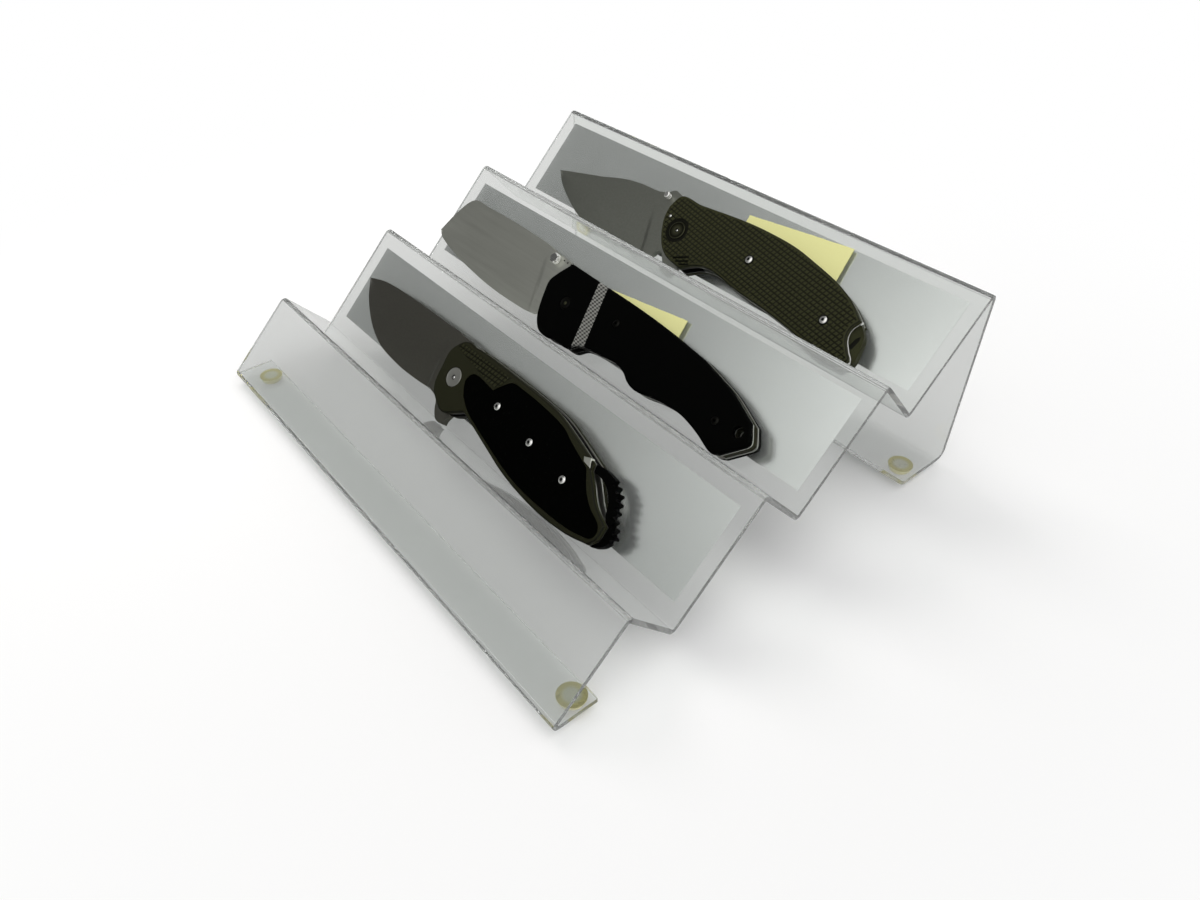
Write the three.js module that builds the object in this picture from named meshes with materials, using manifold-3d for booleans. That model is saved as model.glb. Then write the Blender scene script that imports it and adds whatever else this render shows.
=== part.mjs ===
// A stepped counter stand that shows three folding knives.
// One clear sheet is bent into three sloping tiers. It stands on four soft feet and carries a backing card
// behind each tier. A knife leans open on each tier against a thin pad, with its low edge on the ledge.
// Millimetres. X runs along the tiers, Y to the back and Z up. The origin is on the table, under the middle.
import * as THREE from 'three';
import { mergeVertices } from 'three/addons/utils/BufferGeometryUtils.js';
import Module from 'manifold-3d';

const wasm = await Module();
wasm.setup();
const degree = Math.PI / 180;

// Stand: lengths are between the sharp corners of the outer face, angles are from the horizontal
const standWidth = 305;
const sheetThickness = 2.5;
const frontFlange = 27.2;
const frontPanel = 58.8;
const frontSlope = 43.5;
const ledge = 36.7;
const ledgeFall = 48;
const tierLengths = [67.6, 67.6, 69];
const tierSlope = 44.5;
const backFlange = 35;
const bendInside = 0.5;
const backBendInside = 3.5;
const bendSteps = 5;

// Feet: round bumpers under the flanges, set in from the sheet's ends and from the corner of each bend
const footRadius = 6.35;
const footHeight = 3.5;
const footTaper = 0.8;
const footRound = 1.2;
const frontFootSetback = 20.8;
const backFootSetback = 23;
const frontFootInsets = [13, 8.5];
const backFootInsets = [10, 10];

// Backing cards, behind the sheet of each tier
const cardLength = 289.6;
const cardHeight = 48.5;
const cardThickness = 0.5;
const cardAboveValley = 8.7;

// Pads between the tiers and the knives: middle, size and turn on each tier
const padThickness = 0.6;
const pads = [
  { middle: [178, 25.5], size: [54, 21], turn: 2 },
  { middle: [172.5, 27.6], size: [56, 34], turn: 6.6 },
  { middle: [201.7, 36.9], size: [66, 34], turn: 5.7 },
];

// Running clearance left between all pieces that touch or fit together on the tiers
const fit = 0.2;

// Layers of every knife, and the round parts that hold them together
const scaleThickness = 2.5;
const linerThickness = 1;
const washerThickness = 0.4;
const bladeThickness = 3.2;
const edgeThickness = 0.3;
const pointTaper = 0.45;
const tangOverlap = 2;
const tangSteps = 8;
const bladeStations = [
  0, 0.02, 0.045, 0.11, 0.21, 0.31, 0.41, 0.51, 0.61, 0.7, 0.78, 0.85, 0.91, 0.96, 0.995,
];
const unground = 2;
const scaleChamfer = 0.7;
const inlayDepth = 1.2;
const inlayRise = 0.2;
const barrelRadius = 3;
const pivotHeadDepth = 1;
const washerRadius = 8;
const stopPinRadius = 1.5;
const stopPinPlace = [-6.5, 13.5];
const screwShankRadius = 1.1;
const screwHeadRadius = 2;
const screwHeadHeight = 0.6;
const studShankRadius = 1;
const studBevel = 0.4;
const roundSteps = 20;
const smallSteps = 12;
const curveSteps = 2;

// Outlines of the knives, measured from the pivot: X towards the butt, Y up the tier.
// Each inner list is one smooth curve. It ends where the next list starts, and lists meet in corners.
const knives = [
  {
    name: 'knife_1',
    pivot: [130.4, 25],
    handle: [
      [[1.8, 19], [-2.9, 19.3], [-7.4, 17.9], [-12, 12.2], [-13.2, 8.3], [-12.2, 1.1], [-10.7, -7.5],
        [-7.9, -12], [-2.8, -15.3]],
      [[2.6, -17.8], [6.5, -17.8], [14.2, -13.7], [18.9, -11], [22.8, -11.7], [46.3, -17.4], [60.8, -20.8],
        [78.4, -23.1], [96, -23.7], [112.1, -22.3]],
      [[124.5, -19.4], [127, -15.4]],
      [[127.1, -8.1], [117, -3.5], [109.1, 3.2]],
      [[104.3, 7.1]],
      [[103.3, 10.5], [86.5, 15.1], [70.6, 18.7], [56.1, 19.5], [34.1, 19.8], [6.6, 19.6]],
    ],
    edge: [[-15.7, -13.3], [-38.2, -15.7], [-54.8, -15.5], [-70.7, -13.7], [-86.3, -7.7], [-101.8, 3.2],
      [-109.8, 12.8]],
    spine: [[-16.4, 19.5], [-32.1, 19.5], [-63.8, 18.8], [-94.4, 16.7], [-109.8, 12.8]],
    grind: 0.72,
    tangRadius: 10,
    shoulder: [-8.4, 19.4],
    heel: [
      [[4.1, -9.1], [4.8, -14.2]],
      [[8, -17.5], [6.8, -21.5]],
      [[7.1, -23.6], [3, -24.3], [-0.1, -23.8], [-3.9, -20.4], [-7.5, -15.6]],
    ],
    headRadius: 5.2,
    screws: [[37, 2.7], [66.4, -0.9], [94.4, -4.4]],
    spacer: [
      [[27.6, 18.7], [45.6, 19.3], [59.6, 18.7], [72.6, 17.7], [86.6, 14.6], [94.8, 12], [102.9, 10.4],
        [108, 11]],
    ],
    teeth: {
      rim: [[114.4, 9.4], [120.8, 5.8], [123.9, 1.3], [127.1, -5.4], [131.1, -9.7], [131, -13.8]],
      count: 8,
      depth: 0.9,
    },
    spacerInside: [
      [[131, -13.8], [129.1, -16.9], [123.9, -19.9]],
      [[121, -17.6], [125.1, -13.5], [125, -8.6], [121.8, -5], [119.6, -0.4], [115.6, 3.8], [110.6, 6.3],
        [102.6, 7.3], [94.6, 10.3], [72.6, 14.3], [45.6, 16.1]],
      [[27.6, 16.1]],
    ],
    inlay: [
      [[13.2, -4.2], [9.7, 0.3], [8.7, 3], [9.7, 6.2], [12.7, 8.1]],
      [[28.4, 7.3], [31.6, 11.2], [36.3, 15.8]],
      [[39.1, 16.8], [58.8, 16.5], [78.8, 14.5], [86.5, 11.6]],
      [[101.8, 6.6], [108.5, -1.2], [115.5, -6.2], [123.5, -9.6], [125.4, -12.5], [124.4, -16.2],
        [119, -18.2], [109.8, -19.9], [96, -20.7], [75.9, -20.5], [63.1, -18.9], [43.8, -14.7],
        [20.7, -8.6]],
    ],
  },
  {
    name: 'knife_2',
    pivot: [133.4, 21.85],
    handle: [
      [[-10.9, 19.8], [-16.9, 11.1], [-19.3, 5.7], [-18, -1.1], [-14.3, -11.5], [-11.2, -16.3],
        [-6.8, -19.8], [-1, -20.9], [8.2, -19.7], [18, -19.4], [23.3, -15.3], [28.1, -13.9], [38.7, -12.8],
        [50.5, -11.6], [58, -13.3], [62.9, -16], [69.5, -17.4], [83.4, -15.1], [98.3, -14.3],
        [106.6, -15.6], [114.1, -17.6], [124.9, -21]],
      [[129, -19.7]],
      [[138.4, -9.9], [139.2, -7.5]],
      [[134.1, 0.4], [128.4, 2.9], [115.4, 8.2], [104.9, 10.8]],
      [[93.3, 13.6], [84.9, 14.3], [61.8, 16.9], [39.6, 18.2], [20.2, 18.8]],
    ],
    edge: [[-23.7, -14.7], [-45.6, -15.9], [-65, -15.6], [-82.8, -14.1], [-101, -11.9], [-123, -7],
      [-127.1, -4.3]],
    spine: [[-33.1, 21.7], [-57.9, 23.2], [-78.6, 23.4], [-98, 23.1], [-114, 22.3], [-120.5, 14],
      [-127.1, -4.3]],
    grind: 0.76,
    tangRadius: 11,
    shoulder: [-8.4, 19.6],
    heel: [
      [[0, -11], [-8, -11.3], [-17, -11.8]],
      [[-21.4, -14.2]],
    ],
    headRadius: 3.4,
    stud: { place: [-26.5, 17.5], radius: 3, height: 3.3 },
    screws: [[37.7, 5.3], [118, -7.7]],
    lanyard: { place: [131.2, -6.1], radius: 2.8 },
    spacer: [
      [[26.6, 18.2], [39.6, 17.8], [61.8, 16.4], [84.9, 13.8], [93.3, 13.1]],
      [[104.9, 10.3], [115.4, 7.7], [128.4, 2.4]],
      [[133.8, 0]],
      [[138.6, -7.4], [138, -9.7]],
      [[128.9, -19.1]],
      [[127.6, -17.8], [128.2, -9]],
      [[128, 0.8]],
      [[116, 4.6], [102, 7.6], [84, 10.8], [62, 13.7], [40, 15]],
      [[26.6, 15.2]],
    ],
    band: [[[12.2, 21.5]], [[19.2, 21.5]], [[28.2, -15.5]], [[20.6, -18.5]]],
  },
  {
    name: 'knife_3',
    pivot: [140.3, 23.3],
    handle: [
      [[4.2, 18.1], [-10.6, 18]],
      [[-14.2, 9.9], [-13.2, 3.3], [-8.7, -5.3], [-3.1, -11.7], [2.6, -15.1], [11.3, -17]],
      [[15.3, -17.6], [24, -12.4], [33, -10.6], [54.1, -13.5], [76.1, -15.5], [96, -18.4], [113, -22],
        [122.6, -21.8]],
      [[126.7, -21.7], [130.2, -17.5]],
      [[127, -14.1], [122.9, -9.1], [121.8, -4.1]],
      [[124, 1.3], [114.1, 7.8], [102.8, 12.4], [85.9, 16.5], [70.6, 19.4], [52.8, 20.5], [35.7, 20.4]],
    ],
    edge: [[-9.2, -17.7], [-34.5, -20.6], [-50.3, -21.1], [-64.8, -20.8], [-79.2, -17.2], [-88.9, -13.3],
      [-103.9, -5.4], [-111.6, 1.2]],
    spine: [[-23.9, 17.5], [-30.1, 16], [-45.1, 15.5], [-58.7, 13.8], [-76.3, 9.2], [-94.4, 5.2],
      [-111.6, 1.2]],
    grind: 0.6,
    tangRadius: 10,
    shoulder: [-8.4, 17.6],
    hump: [[-16, 19.6], [-20.1, 20.2]],
    heel: [
      [[4.1, -9.1], [6.3, -13.2]],
      [[11, -16.4], [10.1, -21.5]],
      [[2.7, -21.3], [-1.1, -17.1]],
      [[-4.5, -13.9], [-7.1, -13.8]],
    ],
    headRadius: 5,
    stud: { place: [-21.5, 15.4], radius: 1.8, height: 3.6 },
    screws: [[51.5, 3.3], [107.5, -6.3]],
    spacer: [
      [[27.7, 19.6], [35.7, 19.9], [52.8, 20], [70.6, 18.9], [85.9, 16], [102.8, 11.9], [114.1, 7.3]],
      [[122.2, 1.9], [126.1, -1.3], [129.1, -4.9], [130.2, -8.7], [131.4, -14.4], [131.7, -17],
        [129.1, -20.8]],
      [[120, -20.6], [121.2, -16], [121.6, -9.8], [118.7, -2.8], [112.4, 4], [102.8, 8.1], [85.9, 12.4],
        [70.6, 15.2], [52.8, 16.9]],
      [[27.7, 17.4]],
    ],
  },
];

// Colours of the finishes
const finishes = {
  clearSheet: { color: 0xdfe6e2, roughness: 0.08, metalness: 0, transparent: true, opacity: 0.4 },
  bumper: { color: 0xd8cf9a, roughness: 0.45, metalness: 0 },
  card: { color: 0xaeb2b0, roughness: 0.5, metalness: 0.3 },
  pad: { color: 0xf0e9a8, roughness: 0.8, metalness: 0 },
  darkBlade: { color: 0x45433d, roughness: 0.45, metalness: 0.9 },
  satinBlade: { color: 0x8f8f88, roughness: 0.35, metalness: 1 },
  greyBlade: { color: 0x6c6e66, roughness: 0.4, metalness: 0.95 },
  oliveScale: { color: 0x33341b, roughness: 0.7, metalness: 0 },
  blackScale: { color: 0x0c0c0c, roughness: 0.5, metalness: 0 },
  blackInlay: { color: 0x080808, roughness: 0.75, metalness: 0 },
  wovenBand: { color: 0x6f6f6c, roughness: 0.5, metalness: 0.1 },
  liner: { color: 0x77776f, roughness: 0.4, metalness: 0.9 },
  spacer: { color: 0x15150f, roughness: 0.6, metalness: 0 },
  hardware: { color: 0xb5b5ad, roughness: 0.3, metalness: 1 },
  darkHardware: { color: 0x1c1c1c, roughness: 0.4, metalness: 0.8 },
};
const knifeFinishes = [
  { blade: 'darkBlade', front: 'oliveScale', rear: 'oliveScale', insert: 'blackInlay', screws: 'hardware' },
  {
    blade: 'satinBlade', front: 'blackScale', rear: 'blackScale', insert: 'wovenBand', screws: 'darkHardware',
  },
  { blade: 'greyBlade', front: 'oliveScale', rear: 'oliveScale', screws: 'hardware' },
];

function piece(name, geometry, finish) {
  const mesh = new THREE.Mesh(geometry, new THREE.MeshStandardMaterial(finishes[finish]));
  mesh.name = name;
  return mesh;
}

function smooth(points) {
  const path = points.map(([x, y]) => new THREE.Vector3(x, y, 0));
  return new THREE.CatmullRomCurve3(path, false, 'centripetal');
}

// Joins smooth curves, corner to corner, into one closed outline
function outline(runs) {
  const points = [];
  runs.forEach((run, i) => {
    const path = [...run, runs[(i + 1) % runs.length][0]];
    const steps = path.length > 2 ? curveSteps * (path.length - 1) : 1;
    smooth(path).getPoints(steps).slice(0, -1).forEach((p) => points.push([p.x, p.y]));
  });
  return points;
}

function circle([x, y], radius, steps = roundSteps) {
  return Array.from({ length: steps }, (_, i) => {
    const angle = (2 * Math.PI * i) / steps;
    return [x + radius * Math.cos(angle), y + radius * Math.sin(angle)];
  });
}

function turned(points, clockwise) {
  const flat = points.map(([x, y]) => new THREE.Vector2(x, y));
  return THREE.ShapeUtils.isClockWise(flat) === clockwise ? flat : flat.reverse();
}

// Moves an outline that runs counter-clockwise inwards by a distance, or outwards by a negative one
function inset(points, distance) {
  return points.map((p, i) => {
    const before = points[(i + points.length - 1) % points.length];
    const after = points[(i + 1) % points.length];
    const a = new THREE.Vector2().subVectors(p, before).normalize();
    const b = new THREE.Vector2().subVectors(after, p).normalize();
    const side = new THREE.Vector2(-a.y - b.y, a.x + b.x).normalize();
    const reach = distance / Math.max(0.6, side.x * -a.y + side.y * a.x);
    return p.clone().addScaledVector(side, reach);
  });
}

// A plate between two levels, with holes and, if asked, a chamfer round its front face
function plate(points, [low, high], { holes = [], chamfer = 0 } = {}) {
  const contour = turned(points, false);
  const cuts = holes.map((hole) => turned(hole, true));
  const loops = [[contour, low]];
  if (chamfer) loops.push([contour, high - chamfer]);
  loops.push([inset(contour, chamfer), high]);
  const vertices = [];
  const faces = [];
  const put = (ring, level) => ring.map((p) => vertices.push([p.x, p.y, level]) - 1);
  const wall = (below, above) => below.forEach((_, i) => {
    const j = (i + 1) % below.length;
    faces.push([below[i], below[j], above[j]], [below[i], above[j], above[i]]);
  });
  const rings = loops.map(([ring, level]) => put(ring, level));
  rings.slice(1).forEach((ring, i) => wall(rings[i], ring));
  const lowCuts = cuts.map((cut) => put(cut, low));
  const highCuts = cuts.map((cut) => put(cut, high));
  lowCuts.forEach((cut, i) => wall(cut, highCuts[i]));
  const cap = (ring, ringIds, cutIds, up) => {
    const ids = [ringIds, ...cutIds].flat();
    THREE.ShapeUtils.triangulateShape(ring, cuts).forEach(([a, b, c]) => {
      faces.push(up ? [ids[a], ids[b], ids[c]] : [ids[a], ids[c], ids[b]]);
    });
  };
  cap(contour, rings[0], lowCuts, false);
  cap(loops.at(-1)[0], rings.at(-1), highCuts, true);
  return mesh(vertices, faces);
}

function mesh(vertices, faces) {
  const geometry = new THREE.BufferGeometry();
  geometry.setAttribute('position', new THREE.Float32BufferAttribute(vertices.flat(), 3));
  geometry.setIndex(faces.flat());
  return geometry;
}

// A round part whose axis stands on the tier, from a profile of radius and level
function lathe(profile, [x, y], steps = roundSteps) {
  const points = profile.map(([radius, level]) => new THREE.Vector2(radius, level));
  return new THREE.LatheGeometry(points, steps).rotateX(Math.PI / 2).translate(x, y, 0);
}

function solid(geometry) {
  const bare = geometry.index ? geometry.clone() : geometry;
  bare.deleteAttribute('normal');
  bare.deleteAttribute('uv');
  const merged = mergeVertices(bare, 1e-4);
  return new wasm.Manifold(new wasm.Mesh({
    numProp: 3,
    vertProperties: merged.attributes.position.array,
    triVerts: new Uint32Array(merged.index.array),
  }));
}

function surface(body) {
  const { vertProperties, triVerts } = body.getMesh();
  const geometry = new THREE.BufferGeometry();
  geometry.setAttribute('position', new THREE.BufferAttribute(vertProperties, 3));
  geometry.setIndex(new THREE.BufferAttribute(triVerts, 1));
  return geometry;
}

function cut(geometry, tool) {
  return surface(solid(geometry).subtract(solid(tool)));
}

// Corners of the stand's outer face, from the free edge of the front flange to that of the back flange
function standCorners() {
  const corners = [[frontFlange, 0], [0, 0]];
  const step = (length, angle) => {
    const [y, z] = corners.at(-1);
    corners.push([y + length * Math.cos(angle * degree), z + length * Math.sin(angle * degree)]);
  };
  step(frontPanel, frontSlope);
  tierLengths.forEach((length) => {
    step(ledge, -ledgeFall);
    step(length, tierSlope);
  });
  const [back] = corners.at(-1);
  corners.push([back, 0], [back - backFlange, 0]);
  return corners;
}

// The sheet's section: both faces follow the corners with round bends about shared centres
function sheetSection(corners, thickness, insideRadius) {
  const outer = [];
  const inner = [];
  const direction = (a, b) => new THREE.Vector2(b[0] - a[0], b[1] - a[1]).normalize();
  const right = (d) => new THREE.Vector2(d.y, -d.x);
  const end = (corner, d) => {
    const p = new THREE.Vector2(...corner);
    outer.push(p);
    inner.push(p.clone().addScaledVector(right(d), thickness));
  };
  end(corners[0], direction(corners[0], corners[1]));
  for (let i = 1; i < corners.length - 1; i += 1) {
    const into = direction(corners[i - 1], corners[i]);
    const out = direction(corners[i], corners[i + 1]);
    const turn = Math.atan2(into.cross(out), into.dot(out));
    const side = Math.sign(turn);
    const outerRadius = insideRadius(i) + (side < 0 ? thickness : 0);
    const innerRadius = insideRadius(i) + (side < 0 ? 0 : thickness);
    const setback = outerRadius * Math.tan(Math.abs(turn) / 2);
    const start = new THREE.Vector2(...corners[i]).addScaledVector(into, -setback);
    const centre = start.clone().addScaledVector(right(into), -side * outerRadius);
    const first = right(into).multiplyScalar(side);
    for (let k = 0; k <= bendSteps; k += 1) {
      const spoke = first.clone().rotateAround(new THREE.Vector2(), (turn * k) / bendSteps);
      outer.push(centre.clone().addScaledVector(spoke, outerRadius));
      inner.push(centre.clone().addScaledVector(spoke, innerRadius));
    }
  }
  end(corners.at(-1), direction(corners.at(-2), corners.at(-1)));
  return [...outer, ...inner.reverse()];
}

const corners = standCorners();
const backCorner = corners.length - 2;
const insideOfBend = (i) => (i === backCorner ? backBendInside : bendInside);
const section = sheetSection(corners, sheetThickness, insideOfBend);
const depths = section.map((p) => p.x);
const middleDepth = (Math.min(...depths) + Math.max(...depths)) / 2;

// Places a corner of the section in the part's frame, at the left end of the stand
function atLeftEnd([y, z]) {
  return new THREE.Vector3(-standWidth / 2, y - middleDepth, z + footHeight);
}

function displayStand() {
  const alongX = new THREE.Matrix4().makeBasis(
    new THREE.Vector3(0, 1, 0),
    new THREE.Vector3(0, 0, 1),
    new THREE.Vector3(1, 0, 0),
  );
  const shape = new THREE.Shape(section);
  const sheet = new THREE.ExtrudeGeometry(shape, { depth: standWidth, bevelEnabled: false });
  const stand = piece('display_stand', sheet.applyMatrix4(alongX), 'clearSheet');
  stand.position.copy(atLeftEnd([0, 0]));
  return stand;
}

function foot(name, x, y) {
  const profile = [
    [0, 0],
    [footRadius - footTaper - footRound, 0],
    [footRadius - footTaper, footRound],
    [footRadius, footHeight],
    [0, footHeight],
  ];
  const bumper = piece(name, lathe(profile, [0, 0]), 'bumper');
  bumper.position.set(x, y, 0);
  return bumper;
}

function feet() {
  const front = frontFootSetback - middleDepth;
  const back = corners.at(-2)[0] - backFootSetback - middleDepth;
  const half = standWidth / 2;
  return [
    foot('foot_front_left', frontFootInsets[0] - half, front),
    foot('foot_front_right', half - frontFootInsets[1], front),
    foot('foot_back_left', backFootInsets[0] - half, back),
    foot('foot_back_right', half - backFootInsets[1], back),
  ];
}

function backingCard(number) {
  const sheet = new THREE.BoxGeometry(cardLength, cardHeight, cardThickness);
  const card = piece(`backing_card_${number}`, sheet, 'card');
  const behind = sheetThickness + fit + cardThickness / 2;
  card.position.set(standWidth / 2, cardAboveValley + cardHeight / 2, -behind);
  return card;
}

function mountingPad(number, { middle, size, turn }) {
  const pad = piece(`mounting_pad_${number}`, new THREE.BoxGeometry(...size, padThickness), 'pad');
  pad.position.set(...middle, fit + padThickness / 2);
  pad.rotation.z = turn * degree;
  return pad;
}

// Levels of the knife's layers above the tier, from the rear scale outwards
const knifeBack = fit + padThickness + fit;
let level = knifeBack;
function layer(thickness) {
  const low = level;
  level = low + thickness + fit;
  return [low, low + thickness];
}
const rearScale = layer(scaleThickness);
const rearLiner = layer(linerThickness);
const rearWasher = layer(washerThickness);
const bladeLayer = layer(bladeThickness);
const frontWasher = layer(washerThickness);
const frontLiner = layer(linerThickness);
const frontScale = layer(scaleThickness);
const betweenLiners = [rearLiner[1] + fit, frontLiner[0] - fit];

// The ground part of a blade: sections of spine, grind line and edge, from inside the tang to the point
function groundBlade({ edge, spine, grind }) {
  const fromTang = (points) => {
    const [x, y] = points[0];
    const share = 1 - tangOverlap / Math.hypot(x, y);
    return smooth([[x * share, y * share], ...points]);
  };
  const edgeCurve = fromTang(edge);
  const spineCurve = fromTang(spine);
  const middle = (bladeLayer[0] + bladeLayer[1]) / 2;
  const vertices = [];
  const faces = [];
  bladeStations.forEach((share, i) => {
    const low = edgeCurve.getPointAt(share);
    const high = spineCurve.getPointAt(share);
    const grindLine = low.clone().lerp(high, grind);
    const half = (bladeThickness / 2) * (1 - pointTaper * share);
    const thin = i < unground ? half : edgeThickness / 2;
    [[high, half], [grindLine, half], [low, thin]].forEach(([p, side]) => {
      vertices.push([p.x, p.y, middle + side], [p.x, p.y, middle - side]);
    });
  });
  const ring = [0, 2, 4, 5, 3, 1];
  for (let i = 1; i < bladeStations.length; i += 1) {
    ring.forEach((a, k) => {
      const b = ring[(k + 1) % ring.length];
      const [a0, b0, a1, b1] = [a + 6 * (i - 1), b + 6 * (i - 1), a + 6 * i, b + 6 * i];
      faces.push([a0, b1, b0], [a0, a1, b1]);
    });
  }
  const last = 6 * (bladeStations.length - 1);
  [[0, 2, 3], [0, 3, 1], [2, 4, 5], [2, 5, 3]].forEach(([a, b, c]) => {
    faces.push([a, b, c], [last + a, last + c, last + b]);
  });
  return mesh(vertices, faces);
}

function blade(knife) {
  const { edge, spine, tangRadius, shoulder, hump = [], heel } = knife;
  const [shoulderX] = shoulder;
  const from = Math.atan2(Math.sqrt(tangRadius ** 2 - shoulderX ** 2), shoulderX);
  const [heelX, heelY] = heel[0][0];
  const to = Math.atan2(heelY, heelX);
  const arc = Array.from({ length: tangSteps }, (_, i) => {
    const angle = from + ((to - from) * i) / tangSteps;
    return [[tangRadius * Math.cos(angle), tangRadius * Math.sin(angle)]];
  });
  const tang = outline([[shoulder], ...arc, ...heel, [edge[0]], [spine[0], ...hump.toReversed()]]);
  const holes = [circle([0, 0], barrelRadius + fit)];
  let body = solid(plate(tang, bladeLayer)).add(solid(groundBlade(knife)));
  if (knife.stud) holes.push(circle(knife.stud.place, studShankRadius + fit, smallSteps));
  const through = [bladeLayer[0] - fit, bladeLayer[1] + fit];
  holes.forEach((hole) => {
    body = body.subtract(solid(plate(hole, through)));
  });
  return surface(body);
}

function thumbStud({ place, radius, height }) {
  const [low, high] = [bladeLayer[0] - fit, bladeLayer[1] + fit];
  return lathe([
    [0, low - height],
    [radius - studBevel, low - height],
    [radius, low - height + studBevel],
    [radius, low],
    [studShankRadius, low],
    [studShankRadius, high],
    [radius, high],
    [radius, high + height - studBevel],
    [radius - studBevel, high + height],
    [0, high + height],
  ], place, smallSteps);
}

function pivot({ headRadius }) {
  const under = frontScale[1] - pivotHeadDepth;
  return lathe([
    [0, knifeBack],
    [barrelRadius, knifeBack],
    [barrelRadius, under],
    [headRadius, under],
    [headRadius, frontScale[1]],
    [0, frontScale[1]],
  ], [0, 0]);
}

function bodyScrew(place, face) {
  const seat = face + fit;
  const dome = [0, Math.PI / 6, Math.PI / 3].map((angle) => (
    [screwHeadRadius * Math.cos(angle), seat + screwHeadHeight * Math.sin(angle)]
  ));
  return lathe([
    [0, frontLiner[0]],
    [screwShankRadius, frontLiner[0]],
    [screwShankRadius, seat],
    ...dome,
    [0, seat + screwHeadHeight],
  ], place, smallSteps);
}

function backSpacer({ spacer, teeth, spacerInside = [], lanyard }) {
  const runs = [...spacer];
  if (teeth) {
    const rim = smooth(teeth.rim);
    const corners = 4 * teeth.count;
    for (let i = 0; i < corners; i += 1) {
      const p = rim.getPointAt(i / corners);
      const along = rim.getTangentAt(i / corners);
      const depth = i % 4 < 2 ? 0 : teeth.depth;
      runs.push([[p.x + along.y * depth, p.y - along.x * depth]]);
    }
    runs.push(...spacerInside);
  }
  const holes = lanyard ? [circle(lanyard.place, lanyard.radius, smallSteps)] : [];
  return plate(outline(runs), betweenLiners, { holes });
}

function washer([low, high]) {
  return plate(circle([0, 0], washerRadius), [low, high], { holes: [circle([0, 0], barrelRadius + fit)] });
}

// The knife lies with its pivot at the group's origin
function foldingKnife(knife, finish) {
  const group = new THREE.Group();
  const part = (name, geometry, look) => group.add(piece(`${knife.name}_${name}`, geometry, look));
  const handle = outline(knife.handle);
  const barrelHole = circle([0, 0], barrelRadius + fit);
  const screwHoles = knife.screws.map((place) => circle(place, screwShankRadius + fit, smallSteps));
  const lanyardHoles = knife.lanyard ? [circle(knife.lanyard.place, knife.lanyard.radius, smallSteps)] : [];
  const linerOutline = inset(turned(handle, false), fit).map((p) => [p.x, p.y]);

  const above = frontScale[1] + scaleThickness;
  const seatFloor = frontScale[1] - pivotHeadDepth - fit;
  const headSeat = plate(circle([0, 0], knife.headRadius + fit), [seatFloor, above]);
  const frontHoles = [barrelHole, ...screwHoles, ...lanyardHoles];
  let front = cut(plate(handle, frontScale, { holes: frontHoles, chamfer: scaleChamfer }), headSeat);
  let face = frontScale[1];
  const insertFloor = frontScale[1] - inlayDepth;
  if (knife.inlay) {
    const inlay = outline(knife.inlay);
    const pocket = inset(turned(inlay, false), -fit).map((p) => [p.x, p.y]);
    front = cut(front, plate(pocket, [insertFloor, above]));
    face = frontScale[1] + inlayRise;
    part('handle_inlay', plate(inlay, [insertFloor + fit, face], { holes: screwHoles }), finish.insert);
  }
  if (knife.band) {
    const band = outline(knife.band);
    const channel = inset(turned(band, false), -fit).map((p) => [p.x, p.y]);
    front = cut(front, plate(channel, [insertFloor, above]));
    const strip = solid(plate(band, [insertFloor + fit, frontScale[1]]));
    const trim = solid(plate(linerOutline, [insertFloor, above]));
    part('handle_band', surface(strip.intersect(trim)), finish.insert);
  }
  part('front_scale', front, finish.front);
  part('front_liner', plate(linerOutline, frontLiner, { holes: frontHoles }), 'liner');
  part('rear_liner', plate(linerOutline, rearLiner, { holes: [barrelHole, ...lanyardHoles] }), 'liner');
  part('rear_scale', plate(handle, rearScale, { holes: [barrelHole, ...lanyardHoles] }), finish.rear);
  part('back_spacer', backSpacer(knife), 'spacer');
  part('front_washer', washer(frontWasher), 'hardware');
  part('rear_washer', washer(rearWasher), 'hardware');
  part('stop_pin', plate(circle(stopPinPlace, stopPinRadius, smallSteps), betweenLiners), 'hardware');
  part('pivot', pivot(knife), finish.screws);
  knife.screws.forEach((place, i) => part(`body_screw_${i + 1}`, bodyScrew(place, face), finish.screws));
  part('blade', blade(knife), finish.blade);
  if (knife.stud) part('thumb_stud', thumbStud(knife.stud), 'hardware');
  group.position.set(...knife.pivot, 0);
  return group;
}

// A tier's frame: its origin is at the left end of the valley, X along it, Y up the slope and Z out of it
function tier(index) {
  const group = new THREE.Group();
  group.position.copy(atLeftEnd(corners[3 + 2 * index]));
  group.rotation.x = tierSlope * degree;
  group.add(backingCard(index + 1));
  group.add(mountingPad(index + 1, pads[index]));
  group.add(foldingKnife(knives[index], knifeFinishes[index]));
  return group;
}

const display = new THREE.Group();
display.add(displayStand());
display.add(...feet());
tierLengths.forEach((_, index) => display.add(tier(index)));

export default display;
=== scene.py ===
# %% [markdown]
# # A stepped counter stand with three folding knives
# One clear acrylic sheet is folded into three sloping tiers. Each tier has a silver card behind it, a paper
# pad on it and an open folding knife leaning against the pad. This notebook dresses the engineering model of
# that stand: the model gives every piece its place, and each cell below makes one piece or one finish.

# %% Load the engineering model
import math
import random

import bmesh
import bpy
from mathutils import Matrix, Vector


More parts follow.
